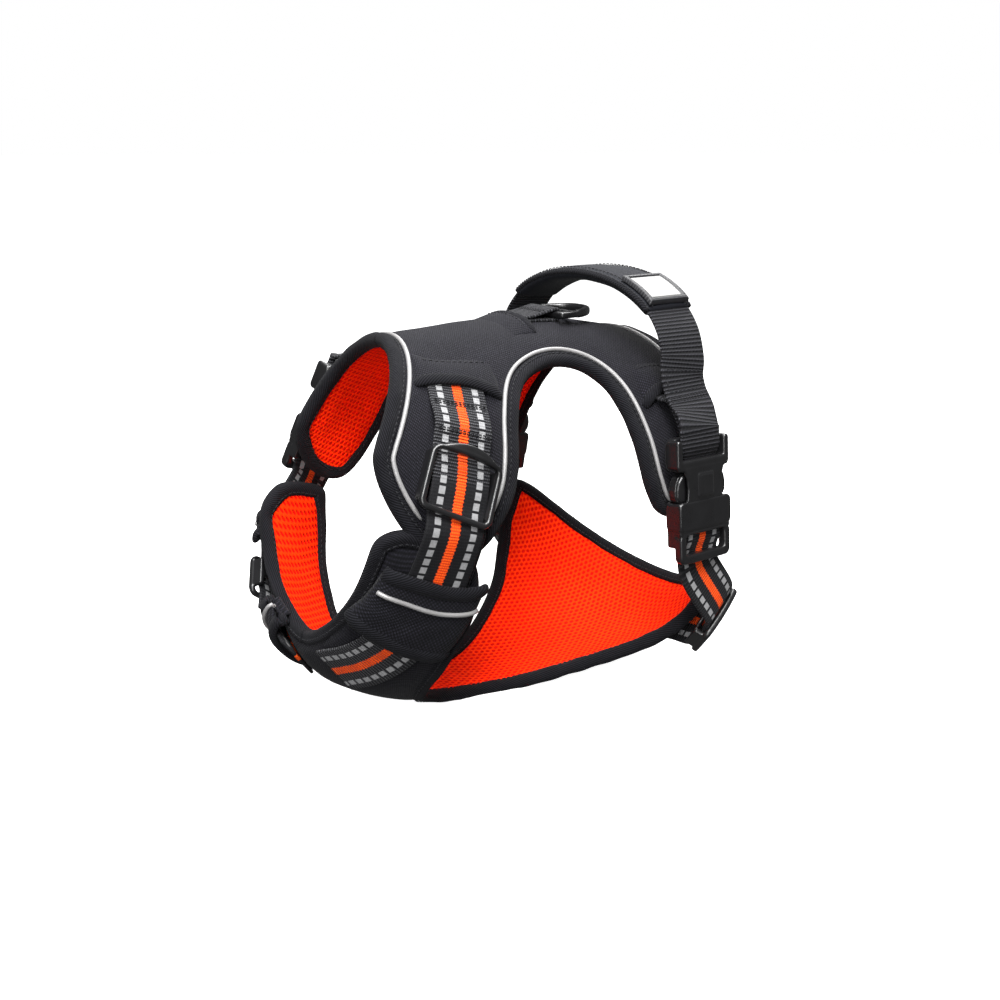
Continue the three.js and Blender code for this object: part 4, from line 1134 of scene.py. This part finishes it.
def out_of_socket(buckle, last):
    """Knots for a strap that leaves a buckle's female half through its window."""
    places = [(-18.5, 2.6), (-23, 2.2), (-31, BEHIND_BAR), (last, BEHIND_BAR)]
    return [on_run(buckle, y, z) for y, z in places]


def into_loop(buckle, first):
    """Knots for a strap that comes down over the bar of a buckle's male half and ends behind it."""
    places = [(first, ON_BAR), (first - 5, ON_BAR), (30, ON_BAR), (25, 0.5), (22.5, -1.2)]
    return [on_run(buckle, y, z) for y, z in places]


def build_near_shoulder():
    """Strap from the back through the slider to the chest, its stitches, its tail and the slider."""
    run = SHOULDER_RUN
    knots = [above(BACK, 32.0, SHOULDER, 5.6), above(BACK, 44.0, SHOULDER, 6.4)]
    knots += [*through_slider(run, 18, 1.9), above(CHEST, 76.0, 0.165, 7.2)]
    knots += [above(CHEST, a, t, 6.6) for a, t in
              ((67.0, 0.17), (57.0, 0.17), (46.0, 0.165), (34.0, 0.155), (20.0, 0.14))]

    def rib(path):
        """Strong ribs with a painted highlight, apart from the smoother, less highlighted stretch between the
        slider's bar and the keeper.
        """
        bar = nearest_length(path, on_run(run, -1.0, 1.9)[0])
        low = nearest_length(path, above(CHEST, 57.0, 0.17, 6.6)[0])
        past_bar = smoothstep(path.length, bar - 1, bar + 3)
        return 1.0 - 0.93 * past_bar * (1 - smoothstep(path.length, low, low + 8))

    path = add_strap("webbing_shoulder_near", knots, rib=rib, nodes=["shoulder_strap_near"])
    first = nearest_length(path, above(BACK, 45.0, SHOULDER, 6.4)[0])
    second = nearest_length(path, on_run(run, 25, 0)[0])
    add_piece("tacks_shoulder_near", join([bar_tack(path, first), bar_tack(path, second, rows=3)]),
              "sewing_thread")
    low = nearest_length(path, on_run(run, -3, 0)[0])
    end = nearest_length(path, above(CHEST, 60.0, 0.17, 6.6)[0])
    tail = lifted(part_of(path, low, end), -2.6, -2.3)
    add_piece("webbing_shoulder_tail", sweep(tail, webbing_section(WEBBING, 1.8), 0.3), "ribbed_webbing")
    slider = placed(slider_shape(37.0, 3.2, 4.2), run, -9.0, -3.0)
    add_piece("frame_shoulder_slider", slider, "slider_plastic", "shoulder_slider_near",
              ["shoulder_slider_near"])


def build_far_shoulder():
    """Short strap down to the neck buckle, and one from there through a slider to the chest."""
    knots = [above(BACK, -30.5, SHOULDER, 4.6), above(BACK, -35.5, SHOULDER, 5.5)]
    path = add_strap("webbing_shoulder_far", knots + into_loop(NECK_BUCKLE, 43), nodes=["shoulder_strap_far"])
    add_piece("tacks_shoulder_far", bar_tack(path, 12.0, rows=3), "sewing_thread")
    knots = [*out_of_socket(NECK_BUCKLE, -38), above(CHEST, -74.0, 0.17, 7.2), above(CHEST, -65.0, 0.17, 7.0),
             *through_slider(CHEST_RUN, 13, 1.4)]
    knots += [above(CHEST, a, t, lift) for a, t, lift in
              ((-30.5, 0.152, 6.6), (-21.0, 0.146, 6.4), (-9.0, 0.14, 6.2))]
    add_strap("webbing_chest_far", knots, rib=0.25, nodes=["chest_strap_far"])
    add_piece("frame_chest_slider", placed(slider_shape(27.0, 3.0, 1.0), CHEST_RUN), "slider_plastic",
              "chest_slider_far", ["chest_slider_far"])


# ---------------------------------------------------------------- flaps, keepers and tunnel
def edge_roll(name, points, normals, half_width, half_height, back):
    """Thick bound edge along a free edge; back is how far in from the edge its middle lies."""
    path = make_path(list(zip(points, normals)), 1.4)
    turn = whole_turn(18)
    section = np.stack([back + half_width * np.cos(turn), half_height * np.sin(turn)], axis=-1)
    shrink = 1 - 0.45 * np.abs(np.linspace(-1, 1, len(path.origin)))[:, None, None] ** 8
    add_piece(name, sweep(path, section * shrink), "binding_tape")


def sewn_row(name, points, normals):
    """Stitches along a row of points on a cover."""
    add_piece(name, stitches(make_path(list(zip(points + normals * 0.1, normals)), 1.5)), "sewing_thread")


Cover = namedtuple("Cover", "top bottom normal")


def add_cover(name, angle, along, lift, thickness, node):
    """Padded slab of fabric over a grid of places on the back panel."""
    top, normal = above(BACK, angle, along, lift)
    bottom = above(BACK, angle, along, lift - thickness)[0]
    cloth = cloth_at(*arc_coordinates(BACK, angle, along))
    piece = add_piece(name, slab(top, bottom, cloth), "cover_fabric", nodes=[node])
    return Cover(top, bottom, normal)


def add_flap(name, side, middle, reach, first, node):
    """Arched flap over the sewn end of a strap: fabric, rolled edge and a row of stitches."""
    f = np.linspace(0, 1, 22)[:, None]
    s = np.linspace(-1, 1, 45)[None, :]
    angle = side * (first + 2 + 13.0 * f + 4.5 * s * s * f)
    along = middle + reach * s + 0 * f
    arch = np.cos(s * math.pi / 2) ** 0.6
    rise = np.sin(f * math.pi / 2) ** 0.8
    cover = add_cover(f"{name}_fabric", angle, along, 3.6 + 5.0 * arch * rise, 1.5, node)
    order = slice(None, None, -1) if side == NEAR else slice(None)
    rim = (cover.top[-1] * 0.7 + cover.bottom[-1] * 0.3)[order][::4]
    edge_roll(f"{name}_roll", rim, cover.normal[-1][order][::4], 3.4, 1.9, 2.2)
    sewn_row(f"{name}_stitches", cover.top[4, 3:-3][order][::3], cover.normal[4, 3:-3][order][::3])


def add_tunnel():
    """Low fabric slit on the back that the ring's loop comes out of."""
    f = np.linspace(0, 1, 20)[:, None]
    s = np.linspace(-1, 1, 45)[None, :]
    along = 0.435 + 0.085 * f + 0 * s
    angle = 15.5 * s + 0 * f
    lift = 4.0 + 3.8 * np.sin(f * math.pi / 2) * (1 - s ** 4)
    cover = add_cover("tunnel_fabric", angle, along, lift, 1.4, "ring_tunnel")
    rim = (cover.top[-1] * 0.5 + cover.bottom[-1] * 0.5)[::-3]
    edge_roll("tunnel_roll", rim, cover.normal[-1][::-3], 2.6, 1.3, -1.6)
    sewn_row("tunnel_stitches", cover.top[13, 3:-3:3], cover.normal[13, 3:-3:3])


FLAPS = [                                      # name, middle and reach along, first angle, CAD node
    ("shoulder_flap", SHOULDER, 0.125, 23, "strap_cover"),
    ("girth_flap", 0.85, 0.085, 32, "girth_cover"),
]
KEEPERS = [                                    # name, [angle, along] down its middle, width, CAD node
    ("keeper_near", ((74.0, 0.169), (67.0, 0.17), (60.0, 0.17), (52.0, 0.167)), 56.0, "keeper_near"),
    ("keeper_upper", ((-72.0, 0.174), (-69.0, 0.173), (-65.5, 0.171)), 57.0, "keeper_far_upper"),
    ("keeper_lower", ((-29.0, 0.151), (-24.0, 0.148), (-18.0, 0.145)), 52.0, "keeper_far_lower"),
]
BEAD_AT = 0.3                                  # place of a keeper's piping down its length


def hugging_grid(panel, pairs, path, across):
    """[angle, along] grid whose rows cross a path at given distances, measured over the panel."""
    pairs = np.array(pairs, float)
    places = np.linspace(0, len(pairs) - 1, len(path.origin))
    middle = smooth_curve(pairs * EVEN, places) / EVEN
    heading = move_over(panel, middle, path.x, np.full(len(middle), 1.0)) - middle
    reach = np.linspace(-60, 60, 241)          # mm to either side of the path, which is sample 120
    grid = middle[:, None] + heading[:, None] * reach[None, :, None]
    run = surface_point(panel, grid[..., 0], grid[..., 1])
    length = run_length(run)
    length = length - length[:, 120:121]
    steps = np.stack([np.interp(across, row, reach) for row in length])
    return middle[:, None] + heading[:, None] * steps[..., None]


def add_keeper(name, pairs, width, node):
    """Fabric sleeve over a strap, with a rolled edge at each end and reflective piping."""
    knots = [(surface_point(CHEST, a, t), surface_normal(CHEST, a, t)) for a, t in pairs]
    path = make_path(knots, 1.2)
    w = width / 2
    a = np.concatenate([[-w - 0.6], np.linspace(-w, w, 61), [w + 0.6]])
    round_top = np.clip(1 - np.abs(a / (w + 0.6)) ** 5, 0, 1) ** 0.5
    along = np.linspace(0, 1, len(path.origin))[:, None]
    bulge = 1 + 0.05 * np.sin(along * math.pi) + 0.02 * ripple(a[None, :], path.length[:, None], 5, 16.0)
    height = 3.6 + 8.0 * round_top[None, :] * bulge
    spread = hugging_grid(CHEST, pairs, path, a)
    top = above(CHEST, spread[..., 0], spread[..., 1], height)[0]
    under = np.maximum(height - 2.3, 3.0)
    spread = hugging_grid(CHEST, pairs, path, a * (w - 1.9) / w)
    bottom = above(CHEST, spread[..., 0], spread[..., 1], under)[0]
    cloth = cloth_at(a[None, :], path.length[:, None])
    piece = add_piece(f"{name}_fabric", slab(top, bottom, cloth), "keeper_fabric", nodes=[node])

    def arch_knots(row, inset, lift):
        tangent = unit(np.gradient(top[row], axis=0))
        normals = unit(np.cross(tangent, path.y[row]))
        points = top[row] + normals * lift
        return list(zip(points[inset:-inset:3], normals[inset:-inset:3]))

    last = len(path.origin) - 1
    turn = whole_turn(16)
    for label, row, lean in (("upper", 1, 1), ("lower", last - 1, -1)):
        ring = make_path(arch_knots(row, 1, -0.9), 1.4)
        section = np.stack([lean * (2.2 + 4.0 * np.cos(turn)), 2.5 * np.sin(turn)], axis=-1)
        add_piece(f"{name}_{label}_roll", sweep(ring, section), "binding_tape")
    bead_row = int(round(BEAD_AT * last))
    bead = make_path(arch_knots(bead_row, 2, 0.5), 1.2)
    add_piece(f"{name}_bead", tube(bead, PIPING_RADIUS), "reflective_piping", nodes=[f"{node}_piping"])


# ---------------------------------------------------------------- girth straps and handle
HANDLE_KNOTS = [                               # from the near foot over to the far foot
    (76, 77, 66), (75.8, 77.5, 75), (73.5, 78.5, 89), (67.5, 79, 103.5), (54.5, 79, 117), (31, 79, 127),
    (0, 79, 130.5),
    (-31, 78, 127), (-54.5, 76.5, 117), (-67.5, 74.5, 103.5), (-73.5, 72, 89), (-75.8, 70, 75), (-76, 69, 66),
]
GIRTH_BUCKLE = {NEAR: flat_run(BACK, 82.0, 0.86, 10.2), FAR: flat_run(BACK, -80.0, 0.92, 10.2)}
GIRTH_RUN = {NEAR: flat_run(CHEST, 66.0, 0.88, 11.0), FAR: flat_run(CHEST, -54.0, 0.87, 11.0)}
GIRTH_ENDS = {
    NEAR: ((47.0, 0.886, 6.6), (39.0, 0.89, 5.4)),
    FAR: ((-38.0, 0.876, 6.4), (-29.0, 0.88, 5.4)),
}
LABEL = {NEAR: "near", FAR: "far"}


def spot(x, y, z, way_x, way_z):
    """Knot at a point whose way out leans between across and up."""
    return np.array([x, y, z], float), unit(np.array([way_x, 0, way_z]))


def build_girth_side(side):
    """Girth strap with its slider and sewn end, and the webbing that anchors its buckle to the back."""
    label = LABEL[side]
    buckle, slide = GIRTH_BUCKLE[side], GIRTH_RUN[side]
    knots = out_of_socket(buckle, -40) + through_slider(slide, 13, 1.4)[1:-2]
    knots += [above(CHEST, *place) for place in GIRTH_ENDS[side]]
    path = add_strap(f"webbing_girth_{label}", knots, rib=0.25, nodes=[f"girth_strap_{label}"])
    end = nearest_length(path, above(CHEST, *GIRTH_ENDS[side][0])[0])
    add_piece(f"tacks_girth_{label}", box_stitch(path, end, end + 9), "sewing_thread")
    add_piece(f"frame_girth_slider_{label}", placed(slider_shape(27.0, 2.6, 1.0), slide), "slider_plastic",
              f"girth_slider_{label}", [f"girth_slider_{label}"])
    middle = 75.0 if side == NEAR else 69.0
    anchor = [above(BACK, side * 41.0, 0.86, 4.4), above(BACK, side * 47.0, 0.86, 5.4),
              spot(side * 77.0, middle, 65.5, side * 0.7, 0.7),
              spot(side * 86.0, middle, 57.0, side * 0.9, 0.45),
              on_run(buckle, 38, 0.0), on_run(buckle, 33, -0.6)]
    add_strap(f"webbing_anchor_{label}", anchor, "ribbed_webbing", ANCHOR_WIDTH, 0.8,
              [f"girth_anchor_{label}"])


def blend_at_foot(piece):
    """Bakes the piece's placement into its mesh."""
    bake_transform(piece)


def build_handle_leg(side, ends):
    """Webbing from the grip down to a buckle, with its tacks and sewn box."""
    foot_y = 77.0 if side == NEAR else 69.5
    foot = [spot(side * x, foot_y, z, side * 0.93, 0.36)
            for x, z in ((75.5, 78.0), (78.5, 69.0), (85.5, 60.0))]
    path = make_path(ends + foot + into_loop(GIRTH_BUCKLE[side], 42), 1.3)
    label = LABEL[side]
    piece = add_piece(f"webbing_handle_{label}", sweep(path, webbing_section(), 1.0), "ribbed_webbing",
                      None, [f"handle_leg_{label}", f"handle_strap_{label}"])
    blend_at_foot(piece)
    low_tack = nearest_length(path, np.array([side * 84.0, foot_y, 65.0]))
    sewn = join([bar_tack(path, low_tack - 2, rows=3), box_stitch(path, low_tack - 18, low_tack - 6)])
    blend_at_foot(add_piece(f"tacks_handle_{label}", sewn, "sewing_thread", None))


def build_grip(path):
    """Padded grip with a rolled seam along each side."""
    turn = whole_turn(40)
    flat = np.sign(np.cos(turn)) * np.abs(np.cos(turn)) ** 0.7 * GRIP_WIDTH / 2
    rise = np.sign(np.sin(turn)) * np.abs(np.sin(turn)) ** 0.8
    section = np.stack([flat, np.where(rise > 0, rise * 3.9, rise * 5.4)], axis=-1)
    way = np.linspace(-1, 1, len(path.origin))[:, None, None]
    full = 1 - 0.28 * np.abs(way) ** 14
    full = full * (1 + 0.03 * ripple(path.length, 0.0, 4, 26.0)[:, None, None])
    grip = add_piece("grip_padding", sweep(path, section * np.concatenate([0 * full + 1, full], axis=-1)),
                     "grip_fabric", "handle", ["handle_grip"])
    for label, side in (("near_edge", 1), ("far_edge", -1)):
        rim, seam, whip = (lifted(path, side * (GRIP_WIDTH / 2 - inset), out)
                           for inset, out in ((1.2, 0.6), (4.4, 3.55), (0.9, 2.4)))
        add_piece(f"grip_{label}_roll", tube(rim, 1.9, 12), "binding_tape", "handle")
        add_piece(f"grip_{label}_seam", join([stitches(seam), stitches(whip, 1.5, 0.6, 0.4)]),
                  "sewing_thread", "handle")


def build_handle():
    """Webbing from each buckle into a padded grip, with a rubber patch near the grip's near end."""
    knots = [spot(x, y, z, x * 0.8, z - 60.0) for x, y, z in HANDLE_KNOTS]
    whole = make_path(knots, 1.3)
    spots = smooth_curve([knot[0] for knot in knots], np.array([3.667, 8.333, 5.0]))
    start, stop, patch_end = (nearest_length(whole, point) for point in spots)
    build_handle_leg(NEAR, knots[5:1:-1])
    build_handle_leg(FAR, knots[7:11])
    build_grip(part_of(whole, start, stop))
    build_patch(part_of(whole, start + 1.0, patch_end))


def build_patch(path):
    """Rubber patch with a raised border round a plain pale face, bent over the grip."""
    half = PATCH_HALF
    path = make_path(list(zip(path.origin[::3], path.z[::3])), 0.5)
    end = path.length[-1]

    def layer(margin, foot, heights):
        """Slab of the patch whose height depends on the distance from its own edge."""
        a = np.linspace(-half + margin, half - margin, 71)
        along = np.linspace(margin, end - margin, 70)
        rows = [np.abs(path.length - value).argmin() for value in along]
        to_end = np.minimum(along - margin, end - margin - along)
        height = heights(np.minimum(half - margin - np.abs(a)[None, :], to_end[:, None]))
        base = path.origin[rows][:, None] + path.x[rows][:, None] * a[None, :, None]
        top = base + path.z[rows][:, None] * height[..., None]
        bottom = base + path.z[rows][:, None] * foot
        return slab(top, bottom, cloth_at(a[None, :], along[:, None]))

    def round_over(gap, radius):
        return np.sqrt(np.clip(1 - (1 - np.clip(gap, 0, radius) / radius) ** 2, 0, 1))

    def border(gap):
        return 3.9 + 2.5 * round_over(gap, 1.1) - 0.9 * smoothstep(gap, 2.9, 3.5)

    def face(gap):
        groove = smoothstep(gap, 1.5, 1.8) - smoothstep(gap, 2.2, 2.5)
        return 5.3 + 0.55 * round_over(gap, 0.5) - 0.18 * groove

    add_piece("patch_border", layer(0.0, 3.7, border), "patch_rubber", "handle", ["handle_patch"])
    add_piece("patch_face", layer(3.6, 5.0, face), "patch_face", "handle", ["handle_patch_panel"])


# ---------------------------------------------------------------- ring and buckles
RING_AXIS = np.array([0, 34.0, 109.0])
LOOP_WIDTH = 25.0
LOOP_RADIUS = 3.2                              # of the webbing where it turns round the ring's bar


def bezier(start, first, second, end, count=12):
    """Points along a cubic curve."""
    t = np.linspace(0, 1, count)[:, None]
    points = ((1 - t) ** 3 * np.array(start) + 3 * (1 - t) ** 2 * t * np.array(first)
              + 3 * (1 - t) * t ** 2 * np.array(second) + t ** 3 * np.array(end))
    return [tuple(p) for p in points]


def build_ring():
    """Flat D ring with a slot for its webbing loop."""
    outline = [(-18, -2), (18, -2)] + bezier((19.4, -1.4), (20.4, 0), (20.2, 6), (19, 12), 6)
    outline += bezier((19, 12), (17, 24), (10, 30.5), (0, 30.5))[1:]
    outline += bezier((0, 30.5), (-10, 30.5), (-17, 24), (-19, 12))[1:]
    outline += bezier((-19, 12), (-20.2, 6), (-20.4, 0), (-19.4, -1.4), 6)[1:]
    slot = rounded_rectangle(-13.6, 13.6, 2.2, 7.2, 1.2)
    opening = [(-14.2, 11.2), (14.2, 11.2)] + bezier((14.2, 11.2), (13.2, 20), (8, 25.8), (0, 25.8))[1:]
    opening += bezier((0, 25.8), (-8, 25.8), (-13.2, 20), (-14.2, 11.2))[1:-1]
    shape = mould([plate(outline, -1.9, 1.9, 1.3, [slot, opening])], voxel=0.38)
    x, y = shape.verts[:, 0], shape.verts[:, 1]
    shape.verts[:, 2] *= 1 + 0.25 * smoothstep(y, 9, 14)
    shape.verts[:, 2] += 0.6 * smoothstep(y, 8, 28) * (1 - (x / 22) ** 2)
    ring = Shape(shape.verts + RING_AXIS, shape.faces, shape.cloth)
    add_piece("ring_plate", ring, "ring_plastic", "ring", ["leash_ring"])
    y0, z0 = RING_AXIS[1:]
    spots = [(y0 - 27, z0 - 0.4, 0, 1), (y0 - 18, z0 + 0.1, 0, 1), (y0 - 9, z0 + 1.6, -0.2, 1)]
    for k in range(9):
        a = math.pi / 2 - math.pi * k / 8
        c, s = math.cos(a), math.sin(a)
        spots.append((y0 + LOOP_RADIUS * c, z0 + LOOP_RADIUS * s, c, s))
    spots += [(y0 - 9, z0 - 2.7, 0, -1), (y0 - 18, z0 - 2.3, 0, -1), (y0 - 27, z0 - 2.0, 0, -1)]
    knots = [(np.array([0, y, z]), unit(np.array([0.0, dy, dz]))) for y, z, dy, dz in spots]
    path = add_strap("webbing_ring_loop", knots, "narrow_webbing", LOOP_WIDTH, 1.0, ["ring_loop"])
    add_piece("tacks_ring_loop", bar_tack(path, 17.0, 11.0, 3), "sewing_thread")


def build_buckles():
    """The same four mouldings at each of the three buckles; only the prongs move."""
    halves = {"male": buckle_male(), "female": buckle_female()}
    prongs = {"prong_a": buckle_prong(NEAR), "prong_b": buckle_prong(FAR)}
    runs = {"neck_buckle": NECK_BUCKLE, "girth_buckle_near": GIRTH_BUCKLE[NEAR],
            "girth_buckle_far": GIRTH_BUCKLE[FAR]}
    for name, run in runs.items():
        for part, shape in (halves | prongs).items():
            node = f"{name}_{part}"
            body = "vest" if part in halves else node
            add_piece(f"moulded_{node}", placed(shape, run), "buckle_plastic", body, [node])


# ---------------------------------------------------------------- camera, light and floor
AZIMUTH, ELEVATION = math.radians(53.6), math.radians(16.4)
CAMERA_DISTANCE = 720.0
LENS = 42.48
SHIFT_X, SHIFT_Y = 0.002, -0.004
AIM = Vector((0, 0, 0.12))                     # every light points here, in metres
LIGHTS = {                                     # place and size in metres, power in watts
    "key": ((0.7, -0.45, 1.3), (0.55, 0.55), 34.0),
    "top": ((0.0, 0.1, 1.5), (0.8, 0.8), 40.0),
    "front": ((0.9, -1.1, 0.5), (0.5, 1.0), 17.0),
    "back": ((-0.7, 0.9, 1.2), (0.9, 0.6), 14.0),
}
WHITE = (1.0, 1.0, 1.0, 1.0)
FLOOR_HALF = 60.0


def build_camera():
    """Camera at the photograph's angle, aimed at the middle of the chest."""
    back = np.array([math.sin(AZIMUTH) * math.cos(ELEVATION), -math.cos(AZIMUTH) * math.cos(ELEVATION),
                     math.sin(ELEVATION)])
    data = bpy.data.cameras.new("camera")
    data.lens = LENS
    data.sensor_width = 36.0
    data.shift_x = SHIFT_X
    data.shift_y = SHIFT_Y
    camera = bpy.data.objects.new("camera", data)
    bpy.context.scene.collection.objects.link(camera)
    camera.location = Vector(((back * CAMERA_DISTANCE + SHIFT) / 1000.0).tolist())
    camera.rotation_mode = "QUATERNION"
    camera.rotation_quaternion = Vector((-back).tolist()).to_track_quat("-Z", "Y")
    bpy.context.scene.camera = camera


def area_light(name, location, size, power):
    """Rectangular light that points at the harness."""
    data = bpy.data.lights.new(name, "AREA")
    data.shape = "RECTANGLE"
    data.size, data.size_y = size
    data.energy = power
    light = bpy.data.objects.new(name, data)
    bpy.context.scene.collection.objects.link(light)
    light.location = location
    light.rotation_mode = "QUATERNION"
    light.rotation_quaternion = (AIM - Vector(location)).to_track_quat("-Z", "Y")


def build_world():
    """White surroundings that light the harness less than the camera sees."""
    world = bpy.data.worlds.new("studio")
    world.use_nodes = True
    nodes, links = world.node_tree.nodes, world.node_tree.links
    background = nodes["Background"]
    background.inputs["Color"].default_value = WHITE
    seen = nodes.new("ShaderNodeLightPath")
    level = nodes.new("ShaderNodeMapRange")
    level.inputs["To Min"].default_value = 0.17      # light that reaches the harness
    level.inputs["To Max"].default_value = 1.0       # what the camera sees
    links.new(seen.outputs["Is Camera Ray"], level.inputs["Value"])
    links.new(level.outputs["Result"], background.inputs["Strength"])
    bpy.context.scene.world = world


def build_floor():
    """Plain pale floor that throws no light of its own on the harness."""
    mesh = bpy.data.meshes.new("floor")
    corners = [(x * FLOOR_HALF, y * FLOOR_HALF, 0) for x, y in ((-1, -1), (1, -1), (1, 1), (-1, 1))]
    mesh.from_pydata(corners, [], [(0, 1, 2, 3)])
    look = Look("look_floor", Roughness=0.9, Specular_IOR_Level=0.0, Emission_Strength=0.95)
    look.shader.inputs["Emission Color"].default_value = WHITE
    look.colour(look.mix(look.noise(400.0), (0.60, 0.60, 0.60), (0.64, 0.64, 0.64)))
    mesh.materials.append(look.material)
    floor = bpy.data.objects.new("floor", mesh)
    bpy.context.scene.collection.objects.link(floor)
    floor.visible_diffuse = False
    floor.visible_glossy = False


def build_studio():
    bpy.context.scene.view_settings.view_transform = "Standard"
    build_world()
    for name, light in LIGHTS.items():
        area_light(name, *light)
    build_floor()


build_camera()
build_studio()
back_edge = build_panel(BACK, "back_panel", 11)
build_panel(CHEST, "chest_plate", 31)
build_piping(back_edge)
build_near_shoulder()
build_far_shoulder()
for flap, middle, reach, first, cover in FLAPS:
    for side in (NEAR, FAR):
        add_flap(f"{flap}_{LABEL[side]}", side, middle, reach, first, f"{cover}_{LABEL[side]}")
for keeper, pairs, width, node in KEEPERS:
    add_keeper(keeper, pairs, width, node)
add_tunnel()
for side in (NEAR, FAR):
    build_girth_side(side)
build_handle()
build_ring()
build_buckles()
